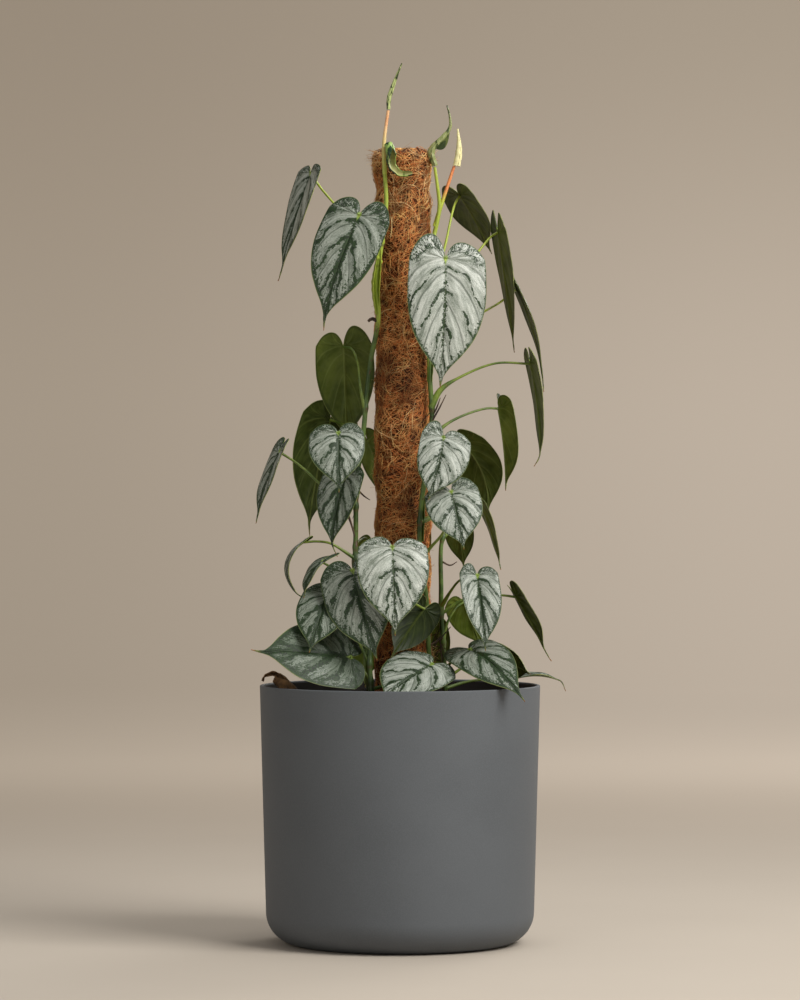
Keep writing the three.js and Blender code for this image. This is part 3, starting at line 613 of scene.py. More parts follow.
class Blade:
    """What a blade's finish needs to know of a point: its place on the blade and the side veins."""

    def __init__(self, finish):
        self.finish = finish
        x, self.row, _ = finish.split(finish.node("UVMap", uv_map="UVMap"))
        signed = x * 2.0 - 1.0
        self.to_edge = abs(signed)
        self.flat = finish.attribute("flat")
        x, _, seed = finish.split(self.flat)
        self.across = abs(x)
        fineness, self.along, self.silver = finish.split(finish.attribute("blade_place"))
        self.patterned = finish.node("VectorMath", 0, {0: self.flat, "Scale": fineness}, operation="SCALE")
        self.streaked = finish.node("CombineXYZ", 0, {0: signed * 2.6, 1: self.row * 42.0, 2: seed})

    def vein_distance(self, wander):
        """0 on a side vein and 0.5 half way to the next; the veins wander by a part of their spacing."""
        shift = self.finish.noise(0.05, 1, at=self.patterned) * wander
        return abs(self.finish.math("FRACT", self.row * float(VEIN_ROWS) + shift) - 0.5)


def leaf_upper_finish():
    """Silver between the side veins, with dark green along the midrib, the veins and the margin; the silver
    is painted brighter towards the middle of each panel as a painted sheen.
    """
    f = Finish("leaf_upper", specular=0.4)
    leaf = Blade(f)
    broad = f.noise(0.1, 3, 0.6, at=leaf.patterned)
    fine = f.noise(0.5, 4, 0.68, at=leaf.patterned)
    grain = f.noise(1.6, 2, 0.7, at=leaf.patterned)
    brushed = f.noise(1.0, 4, 0.68, at=leaf.streaked)
    thin = f.noise(2.6, 3, 0.65, at=leaf.streaked)
    ragged = (fine - 0.5) + (brushed - 0.5)
    greener = 0.8 - leaf.silver
    distance = leaf.vein_distance(0.8)
    lobes = leaf.along.ease(-0.02, 0.12, 1.0, 0.0)

    vein_width = (broad.ease(0.38, 0.62, -0.03, 0.09) + ragged * 0.36 + greener * 0.15
                  + leaf.across.ease(2.0, 14.0, 0.07, 0.0) - lobes * 0.04)
    rib_width = (leaf.along.ease(0.0, 0.35, 0.2, 2.0) - leaf.along.ease(0.5, 0.95, 0.0, 1.6)
                 + ragged * 13.0 + greener * 4.5)
    ring = leaf.to_edge + ragged * 0.7 - 0.62
    spots = thin * 0.75 + fine * 0.5 + (leaf.to_edge - 0.5) * 0.2 + lobes * 0.09 + greener * 0.14
    hairline = leaf.vein_distance(0.12).ease(0.02, 0.06, 0.55, 0.0)
    green = f.most(
        (vein_width - distance).ease(-0.01, 0.014),
        (rib_width - leaf.across).ease(-0.25, 0.25),
        (leaf.to_edge + ragged * 0.45 + greener * 0.1).ease(0.94, 0.96),
        abs(ring).ease(0.05, 0.07, 1.0, 0.0) * lobes,
        spots.ease(0.79, 0.81),
        hairline * leaf.along.ease(0.0, 0.1))

    # Painted sheen: the silver is painted brighter towards the middle of each panel between the side veins;
    # the brushed streaks and grain are the silver's own variation.
    sheen_and_tone = (distance.ease(0.06, 0.42, 0.0, 0.25) + brushed.ease(0.34, 0.64, 0.0, 0.5)
            + grain.ease(0.3, 0.7, -0.25, 0.3))
    dull = f.mix(leaf.silver, (58, 72, 54), (118, 128, 114))
    bright = f.mix(leaf.silver, (104, 118, 98), (230, 234, 226))
    skin = f.lay(
        f.mix(sheen_and_tone, dull, bright),
        (green, f.mix(fine.ease(0.35, 0.65), (11, 25, 8), (42, 65, 31))),
        (leaf.across.ease(0.2, 0.5, 0.35, 0.0) * leaf.silver, (120, 134, 96)),
        ((leaf.across + abs(leaf.along) * 60.0).ease(1.2, 4.0, 1.0, 0.0), (150, 176, 80)),
        (leaf.to_edge.ease(0.945, 0.96, 0.0, 0.5), (42, 68, 32)),
        (leaf.to_edge.ease(0.982, 0.995, 0.0, 0.6), (140, 148, 88)),
        (leaf.along.ease(0.93, 0.97), (104, 112, 52)),
        (leaf.along.ease(0.97, 0.99), (140, 88, 40)))
    f.set("Roughness", brushed.ease(0.3, 0.7, 0.38, 0.26) + green * 0.16)
    return f.done(skin, fine * 0.8 + brushed * 1.4, 0.6, 0.8)


def leaf_under_finish():
    """Dull olive green, paler on the veins and towards the edge; its silver value sets painted light and
    shade, paler for a lit leaf and darker for a leaf in shade.
    """
    f = Finish("leaf_under", roughness=0.46, specular=0.22)
    leaf = Blade(f)
    broad = f.noise(0.05, 3, at=leaf.flat)
    fine = f.noise(1.0, 3, at=leaf.streaked)
    vein = leaf.vein_distance(0.12).ease(0.0, 0.07, 0.3, 0.0)
    skin = f.lay(
        # Painted light and shade: silver makes a lit leaf paler and a shaded one darker.
        f.mix(leaf.silver, (24, 34, 6), (86, 104, 24)),
        (broad.ease(0.3, 0.7), f.mix(leaf.silver, (48, 62, 20), (122, 138, 54))),
        (fine.ease(0.4, 0.7, 0.0, 0.35), (98, 110, 58)),
        (f.most(vein, leaf.across.ease(0.5, 1.4, 0.6, 0.0)), (118, 130, 66)),
        ((leaf.to_edge + fine * 0.06).ease(0.93, 0.97, 0.0, 0.5), (34, 46, 12)),
        (leaf.to_edge.ease(0.98, 0.995, 0.0, 0.8), (120, 130, 66)),
        (leaf.along.ease(0.95, 0.98), (130, 84, 44)),
        # Painted shade: a silver value below 0 darkens a leaf that lies in deep shade.
        (leaf.silver.ease(-0.3, 0.0, 0.6, 0.0), (20, 32, 4)))
    return f.done(skin, fine - vein, 0.7, 0.6)


def leaf_edge_finish():
    f = Finish("leaf_edge")
    return f.done(f.mix(f.noise(160.0).ease(0.35, 0.65), (146, 152, 88), (98, 112, 56)))


def stem_finish(name, light, dark, spot, spot_share=0.62, roughness=0.42, fresh=None):
    """A green stalk with streaks of another green and small scars, and fresher high up if asked."""
    f = Finish(name, roughness)
    fine = f.noise(700.0, 3, at=f.scaled(1.0, 1.0, 0.22))
    scars = f.noise(130.0).ease(spot_share, spot_share + 0.04)
    layers = [(f.noise(42.0, 3).ease(0.36, 0.66), dark)]
    if fresh:
        height = f.split(f.place())[2]
        layers.append((height.ease(*FRESH_ABOVE, 0.0, 0.85), fresh))
        scars = scars * height.ease(*FRESH_ABOVE, 1.0, 0.15)
    layers += [(fine.ease(0.5, 0.75, 0.0, 0.5), light), (scars, spot), (f.attribute("scar", "Fac"), spot)]
    return f.done(f.lay(light, *layers), fine, 0.35, 0.4)


def pot_finish():
    """Matt charcoal plastic with a very fine orange-peel skin; its inner wall above the soil is painted
    dark as painted shade.
    """
    f = Finish("pot_plastic", specular=0.35)
    cloud, grain = f.noise(9.0, 3), f.noise(900.0)
    height = f.split(f.place())[2]
    radius = f.node("VectorMath", 1, {0: f.scaled(1.0, 1.0, 0.0)}, operation="LENGTH")
    from_outside = radius - (height * OUTER_WALL["slope"] + OUTER_WALL["radius"])
    # Painted shade: the inner wall above the soil is painted near black, as the shade inside the pot.
    inside = (from_outside.ease(-0.0036, -0.0028, 1.0, 0.0) * height.ease(0.1, 0.12)
              * height.ease(0.2735, 0.2745, 1.0, 0.0))
    skin = f.lay(
        (84, 88, 92), (cloud.ease(0.3, 0.7), (90, 94, 98)),
        (grain.ease(0.35, 0.7, 0.0, 0.35), (102, 106, 110)), (inside, (30, 26, 22)))
    f.set("Roughness", cloud.ease(0.3, 0.7, 0.56, 0.66))
    return f.done(skin, grain, 0.25, 0.25)


def soil_finish():
    f = Finish("soil", roughness=0.95, specular=0.2)
    clods, crumbs = f.noise(90.0, 5, 0.7), f.noise(420.0, 3)
    skin = f.lay(
        (22, 15, 10), (clods.ease(0.35, 0.68), (62, 44, 31)), (crumbs.ease(0.62, 0.7), (104, 82, 60)))
    return f.done(skin, clods + crumbs, 0.8, 2)


def chip_finish(name, light, dark):
    f = Finish(name, roughness=0.88, specular=0.25)
    grain = f.noise(900.0, 3, at=f.scaled(1.0, 0.3, 1.0))
    return f.done(f.mix((f.noise(75.0, 3) + grain * 0.3).ease(0.4, 0.85), dark, light), grain, 0.5, 0.6)


def coir_finish(name, light, dark, deep):
    """Matted husk fibre: each strand has a shade of its own, and the mat is darker in patches."""
    f = Finish(name, roughness=0.82, specular=0.3)
    grain = f.noise(900.0)
    skin = f.lay(
        dark, (f.attribute("shade", "Fac"), light), (grain.ease(0.4, 0.7, 0.0, 0.4), light),
        (f.noise(110.0, 3).ease(0.5, 0.62, 0.0, 0.5), deep),
        (f.noise(26.0, 3).ease(0.5, 0.64, 0.0, 0.55), deep))
    return f.done(skin, grain, 0.5, 0.5)


def fresh_finish(name, light, dark, share):
    """The skin of an unopened leaf: light, with dark patches beyond a share of the pattern."""
    f = Finish(name, roughness=0.38)
    patch = f.noise(190.0, 3, at=f.scaled(1.0, 1.0, 0.4))
    return f.done(f.mix(patch.ease(share, share + 0.08), light, dark), f.noise(700.0), 0.3, 0.4)


def stake_finish():
    f = Finish("stake_wood", roughness=0.75)
    rings = f.noise(160.0, 4, at=f.scaled(1.0, 1.0, 0.06))
    return f.done(f.mix(rings.ease(0.35, 0.65), (172, 138, 92), (128, 96, 60)), rings, 0.4, 0.5)


def floor_finish():
    """Warm pale paper; far from the pot it is painted darker and given a painted glow in place of its
    lighting, with painted shade that makes the glow dimmer on the left and high up.
    """
    f = Finish("floor_paper", roughness=0.9, specular=0.15)
    x, behind, height = f.split(f.place())
    in_front = behind * -1.0
    # Painted shade: the paper is painted darker far from the pot, where the painted glow takes over.
    darker = f.most(behind.ease(*GLOW["paper_darkens"]), in_front.ease(*GLOW["front_darkens"]))
    low, high = (f.mix(x.ease(*GLOW["across"]), GLOW[f"{part}_left"], GLOW[f"{part}_right"])
                 for part in ("low", "high"))
    # Painted light: the paper glows far from the pot, dimmer on the left and high up as painted shade.
    f.set("Emission Color", f.mix(height.ease(*GLOW["up"]), low, high))
    f.set("Emission Strength", f.most(
        abs(x).ease(*GLOW["beside"]), in_front.ease(*GLOW["before"]), behind.ease(*GLOW["starts"])))
    grain = f.noise(3.0).ease(0.3, 0.7, 0.0, 0.03)
    return f.done(f.lay((192, 182, 169), (darker, (142, 131, 118)), (grain, (120, 108, 95))))


UPPER = leaf_upper_finish()
UNDER = leaf_under_finish()
LEAF_EDGE = leaf_edge_finish()
STEM = stem_finish("stem_green", (90, 114, 48), (42, 66, 20), (84, 66, 40), fresh=(176, 194, 76))
PETIOLE = stem_finish("petiole_green", (124, 142, 54), (68, 92, 26), (104, 92, 48), 0.72,
                      fresh=(176, 192, 70))
FRESH_STALK = stem_finish("fresh_stalk", (240, 206, 154), (226, 166, 116), (184, 196, 84), 0.9)
PINK_STALK = stem_finish("pink_stalk", (206, 108, 74), (224, 142, 84), (178, 190, 60), 0.9)
ROOT = stem_finish("root_brown", (96, 78, 62), (44, 32, 26), (128, 108, 88), 0.66, 0.8)


# Leaves

def outline_at(t):
    """Places on the smooth line through the half outline, at parts t of its number of points."""
    p = np.array(HALF_OUTLINE, float)
    last = len(p) - 1
    padded = np.concatenate([[2 * p[0] - p[1]], p, [2 * p[-1] - p[-2]]])
    i = np.minimum(np.floor(t * last).astype(int), last - 1)
    f = (t * last - i)[:, None]
    a, b, c, d = (padded[i + k] for k in range(4))
    return 0.5 * (2 * b + (c - a) * f + (2 * a - 5 * b + 4 * c - d) * f**2
                  + (3 * b - a - 3 * c + d) * f**3)


class BladeShape:
    """The curved middle surface of a blade. Its side is 1 on the left half and -1 on the right half."""

    def __init__(self, leaf):
        self.leaf = leaf
        self.notch = np.array(leaf.notch, float)
        chord = np.array(leaf.tip, float) - self.notch
        self.down = unit(chord)
        face, tilt, self.bend, self.fold, self.droop = map(
            math.radians, (leaf.face, leaf.tilt, leaf.bend, leaf.fold, leaf.droop))
        up = np.array((math.sin(face) * math.cos(tilt), -math.cos(face) * math.cos(tilt), math.sin(tilt)))
        self.up = unit(up - self.down * np.dot(up, self.down))
        self.out = np.cross(self.down, self.up)
        self.length = np.linalg.norm(chord) * (self.bend / 2) / math.sin(self.bend / 2)

    def at(self, across, along, side, relief=0.0):
        arc, half = self.length / self.bend, self.bend / 2
        turn = half - along * self.length / arc
        lift = -np.sin(turn)[:, None] * self.down + np.cos(turn)[:, None] * self.up
        points = (self.notch
                  + (arc * (math.sin(half) - np.sin(turn)))[:, None] * self.down
                  + (arc * (np.cos(turn) - math.cos(half)))[:, None] * self.up
                  + (self.leaf.sway * 4 * along * (1 - along))[:, None] * self.out)
        width = np.where(side < 0, *self.leaf.widths)
        steps = 6
        for k in range(steps):
            rise = self.fold - self.droop * across * (k + 0.5) / steps
            points += (side * np.cos(rise) * across * width / steps)[:, None] * self.out
            points += (np.sin(rise) * across * width / steps)[:, None] * lift
        return points + np.broadcast_to(relief, across.shape)[:, None] * lift


def blade_grid(leaf, q, row, side):
    """Where a grid corner lies on its blade: q runs from the midrib to the edge along a side vein.

    The veins leave the midrib at a slant and then bend towards the tip, beside the edge.
    """
    x, y = outline_at(1 - (1 - row) ** 1.45).T
    edge = np.where(y < 0, y * np.where(side < 0, *leaf.lobes), y + leaf.belly * y * (1 - y))
    root = np.maximum(edge, 0) ** VEIN_SWEEP
    steeper = root**0.4
    outward = 0.78 - 0.28 * steeper
    middle = root + (0.1 + 0.3 * steeper) * (edge - root)
    across = 2 * q * (1 - q) * outward * x + q * q * x
    along = (1 - q) ** 2 * root + 2 * q * (1 - q) * middle + q * q * edge
    return np.maximum(across, 0), along


def blade_relief(q, row, side, along, seed):
    """How far the skin stands above the middle surface: grooved on the veins, puffed up between them."""
    phase = np.abs((row * VEIN_ROWS) % 1 - 0.5)
    puff = 0.7 * (1 - np.exp(-((phase / 0.22) ** 2))) * np.sin(np.pi * np.clip(q, 0, 1)) ** 0.7
    rib = -0.9 * np.exp(-((q / 0.05) ** 2)) * np.clip(1 - along, 0, 1)
    wave = 0.9 * q**3 * np.sin(7 * np.pi * row + seed + 0.8 * side) * np.clip(1.6 * (1 - along), 0, 1)
    return puff + rib + wave


def make_leaf(name, leaf, number):
    columns, rows = 12, 72
    shape = BladeShape(leaf)
    facts = {}

    def place(i, j):
        signed = i / columns - 1
        q, row, side = np.abs(signed), j / rows, np.where(signed < 0, -1, 1)
        across, along = blade_grid(leaf, q, row, side)
        width = np.where(side < 0, *leaf.widths)
        facts["flat"] = side * across * width, along * shape.length, 40.0 * number
        facts["blade_place"] = (PATTERN_LENGTH / shape.length) ** 0.8, along, leaf.silver
        hook = np.clip((along - 0.9) / 0.1, 0, 1) ** 2
        relief = blade_relief(q, row, side, along, 2.4 * number)
        return shape.at(across, along, side, relief) + hook[:, None] * np.array(leaf.hook, float)

    piece = sheet(f"{name}_blade", 2 * columns, rows, place)
    for key, values in facts.items():
        add_values(piece, key, np.stack(np.broadcast_arrays(*values), 1))
    in_edit_mode(piece, merge_doubles)
    face_towards(piece, rows * columns, shape.up)
    paint(piece, UPPER, UNDER, LEAF_EDGE)
    thicken(piece, BLADE_THICKNESS, material_offset=1, material_offset_rim=2)
    smooth(piece, 50)
    finish(piece, "leaf", f"leaf_{name}")


# Vines

def stalk(name, places, radii, material, turns=(0, 1), sides=8):
    """A round stalk, whose radii are spread evenly along it.

    turns is the height below which it takes its second colour, and how softly it does.
    """
    line = ringed_line(places, STALK_STEP)
    piece = rod(name, line, spread(radii, len(line)), sides)
    paint(piece, material)
    height, soft = turns
    add_values(piece, "scar", np.clip((height - corner_places(piece)[:, 2]) / soft, 0, 1))
    return piece


def stem_with_nodes(name, stem, nodes):
    """The main stem, thicker where each petiole leaves it, with a brown ring just below."""
    line = ringed_line(stem, STEM_STEP)
    radius = np.interp(np.linspace(0, 1, len(line)), (0, 0.7, 1), (VINE_RADIUS, VINE_RADIUS, 2.1))
    for node in nodes:
        gap = np.linalg.norm(line - np.array(node, float), axis=1)
        radius += 0.9 * np.exp(-((gap / 3.5) ** 2))
    piece = rod(name, line, radius, sides=12)
    paint(piece, STEM)
    gaps = [corner_places(piece)[:, 2] - node[2] + 3.5 for node in nodes]
    add_values(piece, "scar", np.max([0.8 * np.exp(-((gap / 1.1) ** 2)) for gap in gaps], axis=0))
    return piece


def make_petiole(name, way):
    """A leaf's stalk, which starts as a sheath on the vine and ends where the blade's notch begins."""
    leaf = LEAVES[name]
    end = BladeShape(leaf).at(np.zeros(1), np.array([0.012]), np.ones(1), -0.4)[0]
    radii = (leaf.sheath, 0.85 * leaf.sheath, 1.5, 1.3, PETIOLE_RADIUS, PETIOLE_RADIUS, 1.4)
    return stalk(f"petiole_{name}", [*way, end], radii, PETIOLE)


SHOOT_LOOKS = dict(
    vine_left=((FRESH_STALK, (870, 46)),), vine_right=((PETIOLE,), (PINK_STALK, (806, 14))),
    vine_low=((PETIOLE,),))


def make_vine(name, vine):
    nodes = [way[0] for way in vine["petioles"].values()]
    parts = [stem_with_nodes(f"{name}_stem", vine["stem"], nodes)]
    parts += [make_petiole(leaf, way) for leaf, way in vine["petioles"].items()]
    for shoot, look in zip(vine["shoots"], SHOOT_LOOKS.get(name, ())):
        parts.append(stalk(f"{name}_shoot", shoot, (2.3, 2.2, 1.8, 1.6), *look))
    for number, root in enumerate(vine["roots"]):
        radii = (2, 2, 1.4) if (name, number) == STOUT_ROOT else (1.1, 0.9, 0.4)
        parts.append(stalk(f"{name}_root", root, radii, ROOT, sides=6))
    for path, radii in SHEATHS.get(name, ()):
        parts.append(rolled(f"{name}_sheath", (PETIOLE, PETIOLE), path, radii, (0.72,), columns=16))
        add_values(parts[-1], "scar", 0)
    piece = join(parts, f"{name}_stalks")
    smooth(piece, 60)
    finish(piece, "vine", name)


# Young and dry leaves

def rolled(name, skins, places, radii, turns=(1.35,), facing=(0.3, -1, 0.2), columns=30,
           thickness=ROLL_THICKNESS, tighten=0.42):
    """A leaf rolled up round a line: a sheet whose section is a spiral, with an outer and an inner skin.

    turns may change along the line. The roll's opening looks in the direction facing.
    """
    line = ringed_line(places, ROLL_STEP, fewest=12)
    radius, turn = spread(radii, len(line)), spread(turns, len(line))
    frames = turned_frames(line)
    first, second = (frame_way @ np.array(facing, float) for frame_way in frames)
    start = np.unwrap(np.arctan2(second, first)) - np.pi * (1 + turn)

    def place(i, j):
        part = i / columns
        angle = start[j] + 2 * np.pi * turn[j] * part
        r = radius[j] * (1 - tighten * part) * (1 + 0.05 * np.sin(0.9 * j + 5 * part))
        return round_section(line, frames, j, r, angle)

    rows = len(line) - 1
    piece = sheet(name, columns, rows, place)
    middle = columns * (rows // 2)
    face_towards(piece, middle, np.array(piece.data.polygons[middle].center) / MM - line[rows // 2])
    paint(piece, *skins)
    thicken(piece, thickness, material_offset=1)
    smooth(piece, 50)
    return piece


def make_new_leaves():
    spike = fresh_finish("spike_skin", (172, 184, 118), (44, 60, 20), 0.44)
    silver = fresh_finish("roll_skin", (140, 148, 92), (64, 80, 34), 0.5)
    shell = fresh_finish("curl_skin", (146, 178, 88), (24, 54, 18), 0.47)
    lining = fresh_finish("curl_lining", (172, 172, 112), (108, 128, 58), 0.52)
    bud = fresh_finish("bud_skin", (238, 230, 172), (208, 206, 120), 0.58)
    dark = fresh_finish("roll_lining", (84, 96, 36), (44, 58, 18), 0.45)
    looks = dict(
        new_spike=((spike, spike), dict(turns=(1.5, 1.1, 1.4), facing=(1, -0.6, 0))),
        new_curl=((shell, lining), dict(
            turns=(1.15, 0.85, 0.52, 0.5, 0.7), facing=(0.5, -1, 0.6), tighten=0.1)),
        new_roll=((silver, dark), dict(turns=(1.3,), facing=(1, -0.5, 0))),
        new_bud=((bud, bud), dict(turns=(1.2,), facing=(1, -0.5, 0), tighten=0.2)),
    )
    for name, (path, radii) in NEW_LEAVES.items():
        skins, roll = looks[name]
        parts = [rolled(f"{name}_roll", skins, path, radii, **roll)]
        if name == "new_roll":
            parts.append(make_flap(dark))
        finish(join(parts, f"{name}_roll"), "new_leaf", name)


def make_flap(skin):
    """The free lower edge of the half-open leaf, which hangs from its roll."""
    columns, rows = 16, 6
    upper = smooth_line(FLAP_EDGE, columns + 1)
    drop = np.sin(np.linspace(0, math.pi, columns + 1)) ** 0.8
    piece = sheet("new_roll_flap", columns, rows, lambda i, j: (
        upper[i] + np.outer(drop[i] * j / rows, (3.0, -1.5, -9.5))))
    thicken(piece, ROLL_THICKNESS)
    paint(piece, skin)
    smooth(piece, 50)
    return piece


def make_dry_leaf():
    """A dead leaf that has rolled up and hooks over the rim, with its crumpled foot behind it."""
    brown = chip_finish("dry_leaf_brown", (140, 106, 70), (40, 27, 18))
    skins = brown, brown
    hook = rolled("dry_leaf_hook", skins, *DRY_HOOK, (0.8,), columns=16, thickness=DRY_THICKNESS)
    foot = rolled("dry_leaf_foot", skins, *DRY_FOOT, (1.5,), columns=28, thickness=DRY_THICKNESS,
                  tighten=0.6)
    piece = join((hook, foot), "dry_leaf_curl")
    noise.seed_set(12)
    corners = corner_places(piece)
    set_corner_places(piece, corners + 1.3 * np.array([noise.noise_vector(Vector(c) / 4) for c in corners]))
    finish(piece, "dry_leaf", "dry_leaf")


# Coir pole

def coir_radius(angle, z):
    """The sleeve's outer radius: bulges between its ties and bundles of husk round it."""
    knot = np.cos(2 * np.pi * z / POLE["knot_pitch"])
    bundle = np.sin(3 * angle + z / 23) + np.sin(5 * angle - z / 13)
    top = np.clip((POLE["top"] - z) / 8, 0, 1)
    shoulder = np.sqrt(np.clip(1 - (1 - top) ** 2, 0, 1))
    relief = POLE["relief"] * (0.9 * knot + 0.5 * bundle) * np.clip((z - POLE["foot"]) / 10, 0, 1)
    neck = 3.2 * np.exp(-(((z - 805) / 8) ** 2)) - 2.8 * np.exp(-(((z - 829) / 13) ** 2))
    return POLE["radius"] - 10 * (1 - shoulder) - neck + relief


def torn_edge(angle, z):
    """How much a place near the sleeve's top is pulled up or pushed down where the mat was cut."""
    near_top = np.clip((z - POLE["top"] + 12) / 10, 0, 1)
    tear = np.array([noise.noise(Vector((2.4 * math.cos(a), 2.4 * math.sin(a), 7.3))) for a in angle])
    return 5.5 * tear * near_top


def make_coir_core():
    """The inside of the mat, which the strands lie on, painted darker than the strands as painted shade in
    the gaps between them.
    """
    columns, rows = 96, 330

    def place(i, j):
        angle = 2 * np.pi * i / columns
        z = POLE["foot"] + (POLE["top"] - POLE["foot"]) * j / rows
        lumps = np.array([noise.fractal(Vector((2.2 * math.cos(a), 2.2 * math.sin(a), h / 9)), 0.6, 2.1, 4)
                          for a, h in zip(angle, z)])
        return upright(coir_radius(angle, z) - 2.2 + 1.3 * lumps, angle, z + torn_edge(angle, z), POLE["x"])

    piece = sheet("coir_core", columns, rows, place)
    in_edit_mode(piece, merge_doubles, close_ends, face_outwards)
    add_values(piece, "shade", 0)
    # Painted shade: the mat under the strands is darker than they are, for the gaps between them.
    paint(piece, coir_finish("coir_gap_shade", (126, 70, 34), (76, 41, 18), (42, 22, 9)))
    smooth(piece, 60)
    finish(piece, "coir", "pole_coir")


class Strands:
    """Fine fibres, each a short curve with its own thickness and shade, which become one mesh."""

    def __init__(self):
        self.curve = bpy.data.curves.new("strands", "CURVE")
        self.curve.dimensions = "3D"
        self.curve.bevel_depth = MM
        self.curve.bevel_resolution = 0
        self.shades = []

    def add(self, line, radii, shade):
        points = self.curve.splines.new("POLY").points
        points.add(len(line) - 1)
        points.foreach_set("co", np.hstack([np.array(line) * MM, np.ones((len(line), 1))]).ravel())
        points.foreach_set("radius", radii)
        self.shades += [shade] * (4 * len(line))

    def make(self, name, material, slot="coir"):
        piece = bpy.data.objects.new(name, self.curve)
        bpy.context.scene.collection.objects.link(piece)
        make_active(piece)
        bpy.ops.object.convert(target="MESH")
        piece = name_active(name)
        add_values(piece, "shade", np.array(self.shades))
        paint(piece, material)
        smooth(piece, 60)
        finish(piece, slot)


def tapered(radius, points):
    return [radius * (0.45 + 0.55 * math.sin(math.pi * (k + 0.5) / points)) for k in range(points)]


def on_sleeve(angle, z, r):
    return POLE["x"] + r * math.cos(angle), r * math.sin(angle), z


def sleeve_radius(angle, z):
    return float(coir_radius(np.array(angle), np.array(z)))


def any_angle(draw):
    return draw.uniform(0, 2 * math.pi)


def matted_strand(draw, length, sway, lift, points=4, lowest=POLE["foot"] + POLE_IN_SOIL):
    """A fibre that lies on the sleeve, follows the swirl there and dips in and out of the mat."""
    angle = any_angle(draw)
    z = draw.uniform(lowest, POLE["top"] - 4)
    swirl = 0.5 + 2.6 * noise.noise(Vector((1.9 * math.cos(angle), 1.9 * math.sin(angle), z / 26)))
    slope, bend, phase = swirl + draw.gauss(0, sway), draw.gauss(0, 0.45), any_angle(draw)
    line = []
    for k in range(points):
        part = k / (points - 1) - 0.5
        heading = slope + bend * part
        a = angle + length * part * math.cos(heading) / POLE["radius"]
        h = min(z + length * part * math.sin(heading), POLE["top"] + 1)
        r = sleeve_radius(a, h) + lift + 0.7 * math.sin(phase + 4 * part)
        line.append(on_sleeve(a, h + float(torn_edge([a], h)[0]), r))
    return line


def crown_strand(draw, points=5):
    """A fibre that lies across the sleeve's closed top."""
    angle, reach = any_angle(draw), 21 * math.sqrt(draw.random())
    heading, length = any_angle(draw), draw.uniform(8, 20)
    line = []
    for k in range(points):
        part = length * (k / (points - 1) - 0.5)
        x = reach * math.cos(angle) + part * math.cos(heading)
        y = reach * math.sin(angle) + part * math.sin(heading)
        fall = max(0, math.hypot(x, y) - 18) ** 1.6 / 7
        line.append((POLE["x"] + x, y, POLE["top"] + draw.uniform(-1.2, 1.6) - fall))
    return line


def standing_hair(draw, angles, heights, reaches, points=6):
    """A stray fibre that leaves the mat and bends away from it."""
    angle, z, reach = draw.uniform(*angles), draw.uniform(*heights), draw.uniform(*reaches)
    sweep = draw.gauss(0, 0.35)
    rise = draw.gauss(0.3 if z > POLE["top"] - 20 else 0.1, 0.5)
    foot = sleeve_radius(angle, min(z, POLE["top"] - 6)) - 1
    line = []
    for k in range(points):
        part = k / (points - 1)
        a = angle + sweep * part**1.5 * reach / 14
        line.append(on_sleeve(a, z + rise * reach * part**1.4, foot + reach * part))
    return line, [0.18 * (1 - 0.6 * k / points) for k in range(points)]


def make_coir_fibres():
    draw = random.Random(31)
    mat = coir_finish("coir_fibre", (255, 220, 140), (202, 102, 45), (82, 38, 15))
    for part in range(COIR_MAT["parts"]):
        fibres = Strands()
        for _ in range(COIR_MAT["strands"]):
            # Painted shade: a strand that lies deeper in the mat gets a darker shade, besides its own
            # random tone.
            lift = draw.uniform(-1.7, 0.5)
            fibres.add(matted_strand(draw, draw.uniform(9, 24), 0.8, lift),
                       tapered(draw.uniform(0.16, 0.34), 4), draw.random() ** 1.6 * (lift + 1.7) / 2.2)
        for _ in range(COIR_MAT["crown_strands"]):
            fibres.add(crown_strand(draw), tapered(draw.uniform(0.2, 0.38), 5), draw.random() ** 2)
        fibres.make(f"coir_mat_{part + 1}", mat)


def make_loose_fibres():
    draw = random.Random(5)
    straw = coir_finish("coir_straw", (255, 226, 164), (172, 106, 52), (112, 62, 28))
    top, foot = POLE["top"], POLE["foot"]
    fibres = Strands()
    for key, lowest in (("anywhere", foot + POLE_IN_SOIL), ("near_top", top - 70)):
        for _ in range(LOOSE_STRANDS[key]):
            line = matted_strand(draw, draw.uniform(12, 34), 0.9, draw.uniform(0.3, 1.3), 6, lowest)
            fibres.add(line, tapered(draw.uniform(0.2, 0.36), 6), draw.random() ** 1.7)
    growths = (
        (300, (0, 2 * math.pi), (foot + 132, top), (4, 8)),
        (120, (0, 2 * math.pi), (top - 14, top), (3, 9)),
        (60, (-2.9, -2.1), (top - 16, top), (4, 12)),
        (40, (-0.9, 0.2), (top - 16, top), (4, 11)),
        (150, (-0.9, 0.25), (foot + 104, foot + 200), (5, 11)),
    )
    for count, *where in growths:
        for _ in range(count):
            fibres.add(*standing_hair(draw, *where), draw.random() ** 2)
    fibres.make("coir_loose", straw)


def make_root_tangle():
    """Thin dark roots that hang from the vines beside the pole's foot."""
    draw = random.Random(12)
    roots = Strands()
    for start, count, reach in ROOT_TANGLES:
        for _ in range(count):
            begin = np.array([draw.gauss(v, s) for v, s in zip(start, (1.5, 2.5, 9))])
            end = begin + [draw.uniform(*way) * reach for way in ((-1, 0.5), (-0.4, 0.3), (-1.6, 0.2))]
            knee = (begin + end) / 2 + [draw.gauss(0, 2.2) for _ in range(3)]
            roots.add(smooth_line((begin, knee, end), 6), (0.5, 0.5, 0.42, 0.36, 0.3, 0.18), draw.random())
    roots.make("root_tangle", coir_finish("root_hair", (74, 56, 40), (44, 34, 24), (26, 20, 14)), "vine")


# Pot and soil

def arc_points(x, z, radius, start, end, count):
    angles = np.radians(np.linspace(start, end, count + 1))
    return [(x + radius * math.cos(a), z + radius * math.sin(a)) for a in angles]


